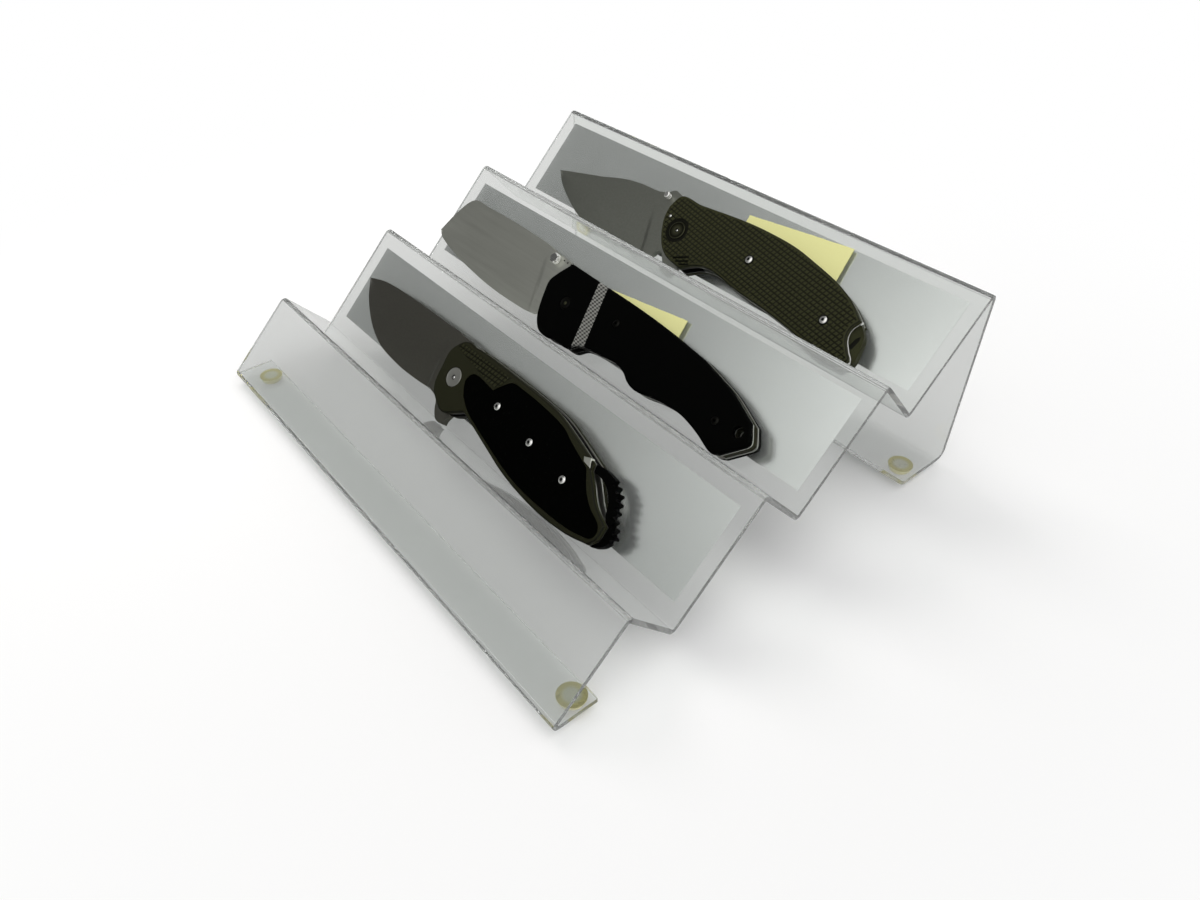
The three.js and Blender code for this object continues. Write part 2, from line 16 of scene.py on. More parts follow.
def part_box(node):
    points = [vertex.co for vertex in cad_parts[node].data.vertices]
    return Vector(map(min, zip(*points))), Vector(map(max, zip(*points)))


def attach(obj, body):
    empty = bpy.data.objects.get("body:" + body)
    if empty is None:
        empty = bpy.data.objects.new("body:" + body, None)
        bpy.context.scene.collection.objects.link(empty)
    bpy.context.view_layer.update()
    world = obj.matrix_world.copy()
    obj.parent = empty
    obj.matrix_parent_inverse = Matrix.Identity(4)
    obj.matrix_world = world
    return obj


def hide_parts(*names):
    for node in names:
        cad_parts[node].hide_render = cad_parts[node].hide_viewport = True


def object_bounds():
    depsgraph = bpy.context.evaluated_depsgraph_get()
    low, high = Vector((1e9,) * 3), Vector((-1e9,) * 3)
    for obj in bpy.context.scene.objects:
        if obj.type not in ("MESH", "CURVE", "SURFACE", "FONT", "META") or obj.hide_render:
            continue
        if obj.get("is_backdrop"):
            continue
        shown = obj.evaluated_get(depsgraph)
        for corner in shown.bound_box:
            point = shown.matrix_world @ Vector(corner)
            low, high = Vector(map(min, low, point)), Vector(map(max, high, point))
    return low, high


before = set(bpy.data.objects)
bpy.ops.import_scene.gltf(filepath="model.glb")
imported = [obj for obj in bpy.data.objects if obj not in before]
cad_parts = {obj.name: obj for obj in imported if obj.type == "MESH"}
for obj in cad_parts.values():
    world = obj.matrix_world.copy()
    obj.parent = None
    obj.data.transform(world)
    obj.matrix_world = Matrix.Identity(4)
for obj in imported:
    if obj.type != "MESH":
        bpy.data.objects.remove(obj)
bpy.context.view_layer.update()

# %% [markdown]
# ## Measures
# Lengths are written in millimetres and turned into Blender's metres by one factor. The sheet is described
# the way a plastics shop would fold it: a list of straight runs, each with its length and its slope.

# %% Measures of the folded sheet
MM = 0.001
DEGREE = math.pi / 180
SHEET_THICKNESS = 2.5
FRONT_FLANGE = 27.2
FRONT_PANEL = (58.8, 43.5)
LEDGE = (36.7, -48)
TIER_SLOPE = 44.5
TIER_LENGTHS = [67.6, 67.6, 69]
BACK_FLANGE = 35
stand_low, stand_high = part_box("display_stand")
stand_width = (stand_high.x - stand_low.x) / MM


def fold_line():
    """Corners of the sheet's outer face, as (y, z) from the sharp corner at the bottom of the front panel"""
    runs = [FRONT_PANEL]
    for length in TIER_LENGTHS:
        runs += [LEDGE, (length, TIER_SLOPE)]
    corners = [(FRONT_FLANGE, 0.0), (0.0, 0.0)]
    for length, slope in runs:
        y, z = corners[-1]
        corners.append((y + length * math.cos(slope * DEGREE), z + length * math.sin(slope * DEGREE)))
    back = corners[-1][0]
    return corners + [(back, 0.0), (back - BACK_FLANGE, 0.0)]


corners = fold_line()
front_corner = Vector((stand_low.x, stand_high.y - corners[-2][0] * MM, stand_low.z))
print("folds", len(corners) - 2, "sheet width", round(stand_width, 1))

# %% [markdown]
# ## One frame for each tier
# The knives are easiest to model lying flat. So each piece of a knife is made about its pivot, with X
# towards the butt, Y up the tier and Z out of it, and one matrix then lays it on its tier.

# %% Matrices that lay a flat piece on its tier
PIVOTS = [(130.4, 25), (133.4, 21.85), (140.3, 23.3)]


def tier_matrix(index, x, y):
    """Lays a flat drawing on a tier, with its origin at (x, y) in millimetres from the tier's lower left"""
    valley_y, valley_z = corners[3 + 2 * index]
    valley = front_corner + Vector((0, valley_y * MM, valley_z * MM))
    tilt = Matrix.Rotation(TIER_SLOPE * DEGREE, 4, "X")
    return Matrix.Translation(valley) @ tilt @ Matrix.Translation((x * MM, y * MM, 0))


knife_places = [tier_matrix(index, *pivot) for index, pivot in enumerate(PIVOTS)]
print("pivot heights", [round(place.translation.z / MM, 1) for place in knife_places])

# %% [markdown]
# ## Camera
# The camera stands in front of the right end and looks down on the tiers. Its place and its lens were worked
# out from the straight edges of the stand, so the picture has the photograph's own perspective.

# %% Camera
CAMERA_PLACE = (0.30954, -0.23724, 0.30948)
CAMERA_RIGHT = (0.63112, 0.77566, -0.00638)
CAMERA_UP = (-0.50394, 0.41626, 0.75682)
CAMERA_BACK = (0.58969, -0.47443, 0.65359)
scene = bpy.context.scene
camera_data = bpy.data.cameras.new("camera")
camera_data.sensor_fit = "HORIZONTAL"
camera_data.sensor_width = 36
camera_data.lens = 26.66
camera_data.shift_x = 0.01102
camera_data.shift_y = 0.00549
camera_data.clip_start = 0.01
camera = bpy.data.objects.new("camera", camera_data)
turn = Matrix((CAMERA_RIGHT, CAMERA_UP, CAMERA_BACK)).transposed()
camera.matrix_world = Matrix.Translation(CAMERA_PLACE) @ turn.to_4x4()
bpy.context.collection.objects.link(camera)
scene.camera = camera
print("camera lens", camera_data.lens)

# %% [markdown]
# ## Studio
# Clear plastic and satin metal are mostly what they reflect. A white room lights them softly, and one broad
# lamp gives the knives their shadows. The room is dim towards the front left, as a photographer makes it
# with a grey board, and the cards and the blades mirror that as their soft shading from grey to white.

# %% Small helpers for shader nodes
scene.view_settings.view_transform = "Standard"


def add_node(tree, kind, inputs=(), **settings):
    """A new node. Each input, by its name or number, gets a value or the output that feeds it"""
    node = tree.nodes.new("ShaderNode" + kind)
    for name, value in settings.items():
        setattr(node, name, value)
    for socket, value in dict(inputs).items():
        if isinstance(value, bpy.types.NodeSocket):
            tree.links.new(value, node.inputs[socket])
        else:
            node.inputs[socket].default_value = value
    return node


def work_out(tree, operation, a, b):
    """The result of a Math node"""
    return add_node(tree, "Math", {0: a, 1: b}, operation=operation).outputs[0]


def spread(tree, value, inputs, kind="LINEAR"):
    """The result of a Map Range node, which spreads a value over a new span"""
    return add_node(tree, "MapRange", {"Value": value, **inputs}, interpolation_type=kind).outputs[0]


# %% White room, dim at the front left
ROOM_DIM = 0.19
ROOM_PALE = 0.9
ROOM_WHITE = 1.32
THROUGH_GREY = 0.43
DIM_UP_TO = 24 * DEGREE
WHITE_FROM = 54 * DEGREE
HIGH_TURN = (0.83, 0.5)
LOW_TURN = (0.45, -0.3)
MOST_BOUNCES = 32
CLEAR_BOUNCES = 24
scene.world = bpy.data.worlds.new("white room")
scene.world.use_nodes = True
tree = scene.world.node_tree
direction = add_node(tree, "TexCoord").outputs["Generated"]
height = add_node(tree, "SeparateXYZ", {0: direction}).outputs["Z"]
flat = add_node(tree, "VectorMath", {0: direction, 1: (1, 1, 0)}, operation="MULTIPLY").outputs[0]
heading = add_node(tree, "VectorMath", {0: flat}, operation="NORMALIZE").outputs[0]
left = {0: heading, 1: (-1, 0, 0)}
leftward = add_node(tree, "VectorMath", left, operation="DOT_PRODUCT").outputs["Value"]

# The room brightens with height, and the more so the further to the right one looks. Leftward is 1 for a
# look straight to the left and -1 for one straight to the right
rise = spread(tree, height, {"From Min": math.sin(DIM_UP_TO), "From Max": math.sin(WHITE_FROM)})
side = spread(tree, leftward, {"From Min": HIGH_TURN[0], "From Max": HIGH_TURN[1]}, "SMOOTHSTEP")
brightening = work_out(tree, "MULTIPLY", rise, side)

# Low down it is dim only on the left, and pale on the right
around = {"From Min": LOW_TURN[0], "From Max": LOW_TURN[1], "To Min": ROOM_DIM, "To Max": ROOM_PALE}
low_down = spread(tree, leftward, around, "SMOOTHSTEP")
shade = spread(tree, brightening, {"To Min": low_down, "To Max": ROOM_WHITE})

# Seen through the acrylic the room is an even grey, unless a card behind it mirrors the room. Such a ray has
# been mirrored once and has passed a face of the sheet four times, twice on its way in and twice out
rays = add_node(tree, "LightPath").outputs
mirrored = work_out(tree, "GREATER_THAN", rays["Glossy Depth"], 0.5)
twice_in = work_out(tree, "GREATER_THAN", rays["Transmission Depth"], 3.5)
unmirrored = work_out(tree, "SUBTRACT", 1.0, work_out(tree, "MULTIPLY", mirrored, twice_in))
through = work_out(tree, "MULTIPLY", rays["Is Transmission Ray"], unmirrored)
behind = spread(tree, through, {"To Min": shade, "To Max": THROUGH_GREY})

# Seen directly it is plain white
level = spread(tree, rays["Is Camera Ray"], {"To Min": behind})
tree.links.new(level, tree.nodes["Background"].inputs["Color"])
tree.nodes["Background"].inputs["Strength"].default_value = 1

# Light bounces many times inside a bend of the clear sheet, and the bend goes black if it is cut short
scene.cycles.max_bounces = MOST_BOUNCES
scene.cycles.glossy_bounces = CLEAR_BOUNCES
scene.cycles.transmission_bounces = CLEAR_BOUNCES
print("room", ROOM_DIM, "to white")

# %% Broad lamp
LAMP_WATTS = 8.0
LAMP_SIZE = 0.7
LAMP_PLACE = Vector((-0.8, 0.12, 0.98))
LAMP_AIM = Vector((0, 0, 0.05))
lamp_data = bpy.data.lights.new("broad lamp", "AREA")
lamp_data.shape = "DISK"
lamp_data.size = LAMP_SIZE
lamp_data.energy = LAMP_WATTS
lamp_data.color = (1, 0.985, 0.96)
lamp = bpy.data.objects.new("broad_lamp", lamp_data)
lamp.visible_glossy = False
lamp.visible_transmission = False
aim = (LAMP_AIM - LAMP_PLACE).to_track_quat("-Z", "Y").to_matrix().to_4x4()
lamp.matrix_world = Matrix.Translation(LAMP_PLACE) @ aim
bpy.context.collection.objects.link(lamp)
print("lamp", LAMP_WATTS, "W")

# %% White table, with the soft shadow of the stand near its middle
TABLE_SIZE = 3.9
TABLE_LEVEL = -0.0001
TABLE_ALBEDO = 0.85
SHADE_REACH = 0.13
WHITE_REACH = 0.5
THROUGH_SHARE = 0.55


def add(primitive, **measures):
    """A new primitive, with nothing else selected"""
    bpy.ops.object.select_all(action="DESELECT")
    primitive(**measures)
    return bpy.context.object


table = add(bpy.ops.mesh.primitive_plane_add, size=TABLE_SIZE, location=(0, 0, TABLE_LEVEL))
table.name = "table_top"
table_finish = bpy.data.materials.new("white table")
table_finish.use_nodes = True
tree = table_finish.node_tree
tree.nodes.clear()
place = add_node(tree, "TexCoord").outputs["Object"]
away = add_node(tree, "VectorMath", {0: place}, operation="LENGTH").outputs["Value"]
far = spread(tree, away, {"From Min": SHADE_REACH, "From Max": WHITE_REACH}, "SMOOTHSTEP")
rays = add_node(tree, "LightPath").outputs
colour = spread(tree, rays["Is Camera Ray"], {"To Min": THROUGH_GREY})
glowing = spread(tree, rays["Is Camera Ray"], {"To Min": THROUGH_SHARE, "To Max": far})
seen = work_out(tree, "MAXIMUM", rays["Is Camera Ray"], rays["Is Glossy Ray"])
seen = work_out(tree, "MAXIMUM", seen, rays["Is Transmission Ray"])
share = work_out(tree, "MULTIPLY", seen, glowing)
matt = add_node(tree, "BsdfDiffuse", {"Color": (TABLE_ALBEDO, TABLE_ALBEDO, TABLE_ALBEDO, 1)}).outputs[0]
glow = add_node(tree, "Emission", {"Color": colour, "Strength": 1}).outputs[0]
blend = add_node(tree, "MixShader", {0: share, 1: matt, 2: glow}).outputs[0]
add_node(tree, "OutputMaterial", {"Surface": blend})
table.data.materials.append(table_finish)
table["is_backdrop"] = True
print("table", TABLE_SIZE, "m")

# %% [markdown]
# ## Effects that several finishes share
# Moulded nylon, rubber, steel and paper differ, but the same few effects make them: a fine grain, brushed
# lines, and soft smudges. Each is one node group with named inputs, placed in every material that needs it.
# All patterns are measured on the piece itself, turned so that X runs along the tier and Y up it.

# %% Node groups
def node_group(name, inputs, *outputs):
    """An empty shader group with those named sockets, and the sockets of its two end nodes"""
    group = bpy.data.node_groups.new(name, "ShaderNodeTree")
    group.interface.new_socket("Vector", in_out="INPUT", socket_type="NodeSocketVector")
    for label, value in inputs.items():
        socket = group.interface.new_socket(label, in_out="INPUT", socket_type="NodeSocketFloat")
        socket.default_value = value
    for label in outputs:
        group.interface.new_socket(label, in_out="OUTPUT", socket_type="NodeSocketFloat")
    return group, group.nodes.new("NodeGroupInput").outputs, group.nodes.new("NodeGroupOutput").inputs


grain, enter, leave = node_group("Fine grain", {"Scale": 1500.0, "Depth": 0.5}, "Height", "Mask")
pattern = {"Vector": enter["Vector"], "Scale": enter["Scale"]}
cells = add_node(grain, "TexVoronoi", pattern, feature="F1").outputs["Distance"]
fuzz = add_node(grain, "TexNoise", {**pattern, "Detail": 3.0, "Roughness": 0.6}).outputs["Fac"]
uneven = work_out(grain, "ADD", cells, fuzz)
grain.links.new(work_out(grain, "MULTIPLY", uneven, enter["Depth"]), leave["Height"])
grain.links.new(fuzz, leave["Mask"])

brushed, enter, leave = node_group("Brushed lines", {"Scale": 600.0, "Stretch": 0.03}, "Height", "Mask")
squeeze = add_node(brushed, "CombineXYZ", {"X": enter["Stretch"], "Y": 1.0, "Z": 1.0}).outputs[0]
drawn = add_node(brushed, "VectorMath", {0: enter["Vector"], 1: squeeze}, operation="MULTIPLY").outputs[0]
pattern = {"Vector": drawn, "Scale": enter["Scale"]}
lines = add_node(brushed, "TexNoise", {**pattern, "Detail": 4.0, "Roughness": 0.65}).outputs["Fac"]
brushed.links.new(lines, leave["Height"])
brushed.links.new(lines, leave["Mask"])

smudge, enter, leave = node_group("Soft smudges", {"Scale": 30.0, "Low": 0.4, "High": 0.6}, "Mask")
pattern = {"Vector": enter["Vector"], "Scale": enter["Scale"], "Distortion": 0.6}
cloud = add_node(smudge, "TexNoise", {**pattern, "Detail": 5.0, "Roughness": 0.55}).outputs["Fac"]
limits = {"From Min": 0.35, "From Max": 0.7, "To Min": enter["Low"], "To Max": enter["High"]}
smudge.links.new(spread(smudge, cloud, limits), leave["Mask"])
print("groups", [group.name for group in bpy.data.node_groups])

# %% [markdown]
# ## Finishes
# Every finish starts as one Principled shader with its plain values set on its own sockets. A group then
# drives what changes over the surface: a little of the colour, the roughness, and the height of a Bump node.

# %% Helper that builds a finish
# How dark painted shade makes the colour where a piece's groove attribute marks a groove, socket, hole or
# edge in shade
PAINTED_GROOVE_SHADE = 0.12


class Finish:
    """A material with one Principled shader, and the turned coordinates that its patterns read"""

    def __init__(self, name, **values):
        self.material = bpy.data.materials.new(name)
        self.material.use_nodes = True
        self.tree = self.material.node_tree
        self.shader = self.tree.nodes["Principled BSDF"]
        for socket, value in values.items():
            self.shader.inputs[socket.replace("_", " ")].default_value = value
        place = add_node(self.tree, "TexCoord").outputs["Object"]
        turn = {"Vector": place, "Rotation": (-TIER_SLOPE * DEGREE, 0, 0)}
        self.turned = add_node(self.tree, "Mapping", turn).outputs[0]

    def feed(self, socket, output):
        self.tree.links.new(output, self.shader.inputs[socket])

    def group(self, group, **values):
        """Places a shared effect in the material, and gives its outputs"""
        return add_node(self.tree, "Group", {"Vector": self.turned, **values}, node_tree=group).outputs

    def colours(self, mask, low, high):
        mix = add_node(self.tree, "Mix", {0: mask, 6: (*low, 1), 7: (*high, 1)}, data_type="RGBA")
        self.feed("Base Color", mix.outputs[2])

    def paint_shade_in_grooves(self):
        """Paints shade into the colour: darkens it as much as the piece's own groove attribute says, where a
        groove, socket, hole or edge lies in shade
        """
        groove = add_node(self.tree, "Attribute", attribute_name="groove").outputs["Fac"]
        plain = self.shader.inputs["Base Color"].links[0].from_socket
        inputs = {0: groove, 6: plain, 7: (PAINTED_GROOVE_SHADE, PAINTED_GROOVE_SHADE, PAINTED_GROOVE_SHADE, 1)}
        shade = add_node(self.tree, "Mix", inputs, data_type="RGBA", blend_type="MULTIPLY")
        self.feed("Base Color", shade.outputs[2])

    def rough(self, mask, low, high):
        self.feed("Roughness", spread(self.tree, mask, {"To Min": low, "To Max": high}))

    def bump(self, height, distance, strength):
        inputs = {"Height": height, "Distance": distance * MM, "Strength": strength}
        self.feed("Normal", add_node(self.tree, "Bump", inputs).outputs[0])


# %% Clear acrylic, which lets the lamp's light through
acrylic = Finish("clear acrylic", Base_Color=(0.965, 0.98, 0.967, 1), IOR=1.49, Transmission_Weight=0.97)
wiped = acrylic.group(smudge, Scale=22.0, Low=0.0, High=1.0)
acrylic.rough(wiped["Mask"], 0.02, 0.09)
shadow = add_node(acrylic.tree, "LightPath").outputs["Is Shadow Ray"]
tint = add_node(acrylic.tree, "BsdfTransparent", {"Color": (0.8, 0.815, 0.805, 1)}).outputs[0]
surface = add_node(acrylic.tree, "MixShader", {0: shadow, 1: acrylic.shader.outputs[0], 2: tint}).outputs[0]
acrylic.tree.links.new(surface, acrylic.tree.nodes["Material Output"].inputs["Surface"])
print("made", acrylic.material.name)

# %% Yellowed bumpers, card and paper
YELLOW_SPAN = (0.45, 0.75)
bumper = Finish("yellowed bumper", IOR=1.5, Transmission_Weight=0.2)
ring = add_node(bumper.tree, "Attribute", attribute_name="ring").outputs["Fac"]
yellowing = spread(bumper.tree, ring, {"From Min": YELLOW_SPAN[0], "From Max": YELLOW_SPAN[1]})
bumper.colours(yellowing, (0.97, 0.96, 0.84), (0.9, 0.84, 0.44))
haze = bumper.group(smudge, Scale=160.0, Low=0.0, High=1.0)
bumper.rough(haze["Mask"], 0.25, 0.4)

card = Finish("silver card", Metallic=0.95, Roughness=0.24)
sheen = card.group(grain, Scale=2600.0, Depth=0.4)
cloudy = card.group(smudge, Scale=9.0, Low=0.0, High=1.0)
card.colours(cloudy["Mask"], (0.8, 0.815, 0.8), (0.86, 0.875, 0.865))
card.bump(sheen["Height"], 0.02, 0.35)

paper = Finish("yellow paper", Roughness=0.85, Specular_IOR_Level=0.3)
fibres = paper.group(grain, Scale=1800.0, Depth=0.5)
paper.colours(fibres["Mask"], (0.74, 0.72, 0.31), (0.8, 0.79, 0.39))
paper.bump(fibres["Height"], 0.05, 0.4)
print("made", [finish.material.name for finish in (bumper, card, paper)])


# %% Steels
def steel(name, dark, light, rough, stretch=0.04, scale=500.0):
    """Ground steel: brushed lines along the tier vary its colour, roughness and height"""
    finish = Finish(name, Metallic=1.0)
    marks = finish.group(brushed, Scale=scale, Stretch=stretch)
    finish.colours(marks["Mask"], dark, light)
    finish.paint_shade_in_grooves()
    finish.rough(marks["Mask"], rough - 0.06, rough + 0.08)
    finish.bump(marks["Height"], 0.012, 0.3)
    return finish


dark_blade = steel("dark washed steel", (0.105, 0.103, 0.086), (0.148, 0.144, 0.122), 0.42, 0.9, 900.0)
satin_blade = steel("satin steel", (0.5, 0.51, 0.45), (0.63, 0.64, 0.575), 0.34)
grey_blade = steel("grey washed steel", (0.22, 0.228, 0.194), (0.305, 0.314, 0.277), 0.38, 0.9, 900.0)
liner = steel("liner steel", (0.4, 0.4, 0.37), (0.52, 0.52, 0.48), 0.34)
bright = steel("bright turned steel", (0.66, 0.66, 0.63), (0.8, 0.8, 0.77), 0.2)
dull_pivot = steel("dull pivot steel", (0.36, 0.36, 0.33), (0.45, 0.45, 0.41), 0.38)
olive_pivot = steel("olive coated steel", (0.06, 0.062, 0.036), (0.085, 0.087, 0.052), 0.4)
black_oxide = steel("black oxide steel", (0.007, 0.007, 0.006), (0.014, 0.014, 0.012), 0.34)
bronze = steel("bronze washer", (0.55, 0.4, 0.2), (0.68, 0.52, 0.28), 0.35)
print("materials so far", len(bpy.data.materials))


# %% Handle plastics
def moulded(name, low, high, rough, shine=0.12, scale=1500.0, depth=0.06):
    """Moulded nylon, laminate or rubber: a fine grain that dulls it and dots it with light"""
    finish = Finish(name, Specular_IOR_Level=shine)
    dots = finish.group(grain, Scale=scale, Depth=1.0)
    finish.colours(dots["Mask"], low, high)
    finish.paint_shade_in_grooves()
    finish.rough(dots["Mask"], rough - 0.08, rough + 0.1)
    finish.bump(dots["Height"], depth, 0.6)
    return finish


olive = moulded("olive nylon", (0.012, 0.0125, 0.0045), (0.026, 0.027, 0.011), 0.6)
pale_olive = moulded("pale olive nylon", (0.022, 0.023, 0.0085), (0.038, 0.04, 0.017), 0.55)
laminate_colours = (0.0003, 0.0004, 0.0003), (0.0014, 0.0015, 0.0013)
black_laminate = moulded("black laminate", *laminate_colours, 0.5, 0.02, 2200.0, 0.03)
rubber_colours = (0.0002, 0.0003, 0.0002), (0.001, 0.0011, 0.0009)
black_rubber = moulded("black rubber", *rubber_colours, 0.66, 0.01, 900.0, 0.12)

weave = Finish("grey weave", Roughness=0.38)
slant = {"Vector": weave.turned, "Rotation": (0, 0, 62 * DEGREE), "Scale": (1.0, 1.7, 1.0)}
threads = add_node(weave.tree, "Mapping", slant).outputs[0]
squares = add_node(weave.tree, "TexChecker", {"Vector": threads, "Scale": 620.0}).outputs["Fac"]
weave.colours(squares, (0.025, 0.025, 0.022), (0.24, 0.24, 0.22))
weave.bump(squares, 0.08, 0.6)
print("finishes", len(bpy.data.materials))

# %% [markdown]
# ## Tools of the bench
# A few small tools do the work of hands at a bench. They choose faces or edges by their place, cut a plate
# to an outline, round its upper edge, turn a round part ring by ring, drill it, and lay it on its tier.

# %% Edit mode
def only(piece):
    """Makes one object the selected and active one"""
    bpy.ops.object.select_all(action="DESELECT")
    piece.select_set(True)
    bpy.context.view_layer.objects.active = piece


def edit(piece):
    """Opens a piece in edit mode, with all of it selected"""
    only(piece)
    bpy.ops.object.mode_set(mode="EDIT")
    bpy.ops.mesh.select_all(action="SELECT")


def done():
    bpy.ops.object.mode_set(mode="OBJECT")


def close_up():
    """Turns all faces of the piece outwards, and leaves edit mode"""
    bpy.ops.mesh.select_all(action="SELECT")
    bpy.ops.mesh.normals_make_consistent(inside=False)
    done()


def choose(piece, kind, test):
    """In edit mode, selects the vertices, edges or faces that pass the test, and no others"""
    bpy.ops.mesh.select_mode(type=kind)
    bpy.ops.mesh.select_all(action="DESELECT")
    mesh = bmesh.from_edit_mesh(piece.data)
    items = {"VERT": mesh.verts, "EDGE": mesh.edges, "FACE": mesh.faces}[kind]
    chosen = [item for item in items if test(item)]
    for item in chosen:
        item.select_set(True)
    bmesh.update_edit_mesh(piece.data)
    return len(chosen)


def choose_rims():
    """In edit mode, selects the open rims of a surface"""
    bpy.ops.mesh.select_mode(type="EDGE")
    bpy.ops.mesh.select_all(action="DESELECT")
    bpy.ops.mesh.select_non_manifold()


def draw_out(move):
    """In edit mode, extrudes what is selected by that much, in metres"""
    bpy.ops.mesh.extrude_region_move(TRANSFORM_OT_translate={"value": move})


# %% Finishing a piece
SMOOTH_UNDER = 30 * DEGREE


def apply_modifier(piece, kind, **settings):
    only(piece)
    modifier = piece.modifiers.new(kind.lower(), kind)
    for name, value in settings.items():
        setattr(modifier, name, value)
    bpy.ops.object.modifier_apply(modifier=modifier.name)


def mark(piece, name, value):
    """Writes a value on each point, worked out from its place in millimetres, for the finish to read"""
    layer = piece.data.attributes.new(name, "FLOAT", "POINT")
    for vertex in piece.data.vertices:
        layer.data[vertex.index].value = value(*(vertex.co / MM))


def dress(piece, place, name, finish, body, slot, *nodes):
    """Moves a finished piece to its place and smooths it so that flat faces still mirror flatly. Then names
    it, gives it its finish, hangs it on its body and hides the model's parts that it replaces"""
    only(piece)
    piece.matrix_world = place @ piece.matrix_world
    bpy.ops.object.transform_apply(location=True, rotation=True, scale=True)
    bpy.ops.object.shade_smooth_by_angle(angle=SMOOTH_UNDER)
    apply_modifier(piece, "WEIGHTED_NORMAL", weight=100, keep_sharp=True)
    piece.name = name
    piece.data.name = name
    piece.data.materials.clear()
    piece.data.materials.append(finish.material)
    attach(piece, body)
    if nodes:
        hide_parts(*nodes)


# %% Plates, round parts and cuts
ABOVE = 20


def cut_plate(outline, low, high, round_over=0.0, steps=4):
    """A plate of that outline between two levels, in millimetres, its upper edge rounded over if asked"""
    plate = add(bpy.ops.mesh.primitive_circle_add, vertices=len(outline), radius=MM, fill_type="NGON")
    for vertex, (x, y) in zip(plate.data.vertices, outline):
        vertex.co = (x * MM, y * MM, low * MM)
    edit(plate)
    draw_out((0, 0, (high - round_over - low) * MM))
    for i in range(steps if round_over else 0):
        start, end = (90 * DEGREE * k / steps for k in (i, i + 1))
        inwards = round_over * MM * (math.cos(start) - math.cos(end))
        upwards = round_over * MM * (math.sin(end) - math.sin(start))
        bpy.ops.mesh.inset(thickness=inwards, depth=upwards, use_boundary=True, use_even_offset=True)
    close_up()
    return plate


def turn_part(profile, x=0.0, y=0.0, sides=32):
    """A round part drawn up ring by ring from its lowest face, from a profile of radius and level"""
    (radius, level), *rings = profile
    part = add(bpy.ops.mesh.primitive_circle_add, vertices=sides, radius=radius * MM, fill_type="NGON")
    edit(part)
    bpy.ops.transform.translate(value=(x * MM, y * MM, level * MM))
    for next_radius, next_level in rings:
        draw_out((0, 0, (next_level - level) * MM))
        grow = next_radius / radius
        centre = (x * MM, y * MM, next_level * MM)
        bpy.ops.transform.resize(value=(grow, grow, 1), center_override=centre)
        radius, level = next_radius, next_level
    close_up()
    return part


def combine(piece, tool, operation="DIFFERENCE"):
    """Cuts a closed tool away from a piece, or joins it on, and throws the tool away"""
    apply_modifier(piece, "BOOLEAN", object=tool, operation=operation, solver="EXACT")
    bpy.data.objects.remove(tool, do_unlink=True)


def cut_out(piece, outline, floor=0):
    """Cuts an outline out of a piece, from a floor up past the top of every knife"""
    combine(piece, cut_plate(outline, floor, ABOVE))


def drill(piece, x, y, radius, floor=0, sides=32):
    combine(piece, turn_part([(radius, floor), (radius, ABOVE)], x, y, sides))


def join(pieces):
    """Makes one object of several, and keeps the first"""
    only(pieces[0])
    for piece in pieces:
        piece.select_set(True)
    bpy.ops.object.join()
    return pieces[0]


# %% Smooth outlines
def spline(points, steps):
    """A smooth curve through the points, without its last one, so that curves can be put end to end"""
    if len(points) == 2:
        return [tuple(points[0])]
    knots = [Vector(point) for point in points]
    knots = [2 * knots[0] - knots[1], *knots, 2 * knots[-1] - knots[-2]]
    curve = []
    for a, b, c, d in zip(knots, knots[1:], knots[2:], knots[3:]):
        first = (b - a).length ** 0.5
        second = first + (c - b).length ** 0.5
        third = second + (d - c).length ** 0.5
        for i in range(steps):
            t = first + (second - first) * i / steps
            ab = a.lerp(b, t / first)
            bc = b.lerp(c, (t - first) / (second - first))
            cd = c.lerp(d, (t - second) / (third - second))
            abc = ab.lerp(bc, t / second)
            bcd = bc.lerp(cd, (t - first) / (third - first))
            curve.append(tuple(abc.lerp(bcd, (t - first) / (second - first))))
    return curve


def outline_of(runs, steps=6):
    """One closed outline from smooth runs. Each run ends where the next one starts, in a corner"""
    outline = []
    for i, run in enumerate(runs):
        outline += spline([*run, runs[(i + 1) % len(runs)][0]], steps)
    return outline


print("bench ready")

# %% [markdown]
# ## The folded sheet
# The real stand is one flat strip of acrylic, heated along nine lines and folded. The mesh is made the same
# way: the strip is drawn out straight to the next fold, spun through the fold's angle about its centre, and
# drawn on. Solidify gives the strip its thickness, and a small bevel stands for the flame-polished edges.

# %% Fold the strip
BEND_INSIDE = 0.5
BACK_BEND_INSIDE = 3.5
FOLD_STEPS = 10
START_RUN = 0.5
HERE = 1e-6


def on_sheet(point):
    """A point of the fold line, (y, z) in millimetres, in the model's frame at the sheet's left end"""
    return front_corner + Vector((0, point[0] * MM, point[1] * MM))


sheet = add(bpy.ops.mesh.primitive_plane_add, size=1)
ends = [(x, y) for y in (FRONT_FLANGE - START_RUN, FRONT_FLANGE) for x in (stand_low.x, stand_high.x)]
for vertex, (x, y) in zip(sheet.data.vertices, ends):
    vertex.co = (x, front_corner.y + y * MM, front_corner.z)
edit(sheet)
here = Vector((FRONT_FLANGE - START_RUN, 0))
start_y = on_sheet(here).y
choose(sheet, "EDGE", lambda edge: all(abs(vertex.co.y - start_y) < HERE for vertex in edge.verts))
for i in range(1, len(corners) - 1):
    before, corner, after = (Vector(corners[k]) for k in (i - 1, i, i + 1))
    into = (corner - before).normalized()
    out = (after - corner).normalized()
    turn_angle = math.atan2(into.x * out.y - into.y * out.x, into.dot(out))
    inside = BACK_BEND_INSIDE if i == len(corners) - 2 else BEND_INSIDE
    radius = inside + (SHEET_THICKNESS if turn_angle < 0 else 0)
    reach = radius * math.tan(abs(turn_angle) / 2)
    bend_start = corner - into * reach
    centre = bend_start + Vector((-into.y, into.x)) * math.copysign(radius, turn_angle)
    draw_out(on_sheet(bend_start) - on_sheet(here))
    bpy.ops.mesh.spin(steps=FOLD_STEPS, angle=-turn_angle, center=on_sheet(centre), axis=(1, 0, 0))
    here = corner + out * reach
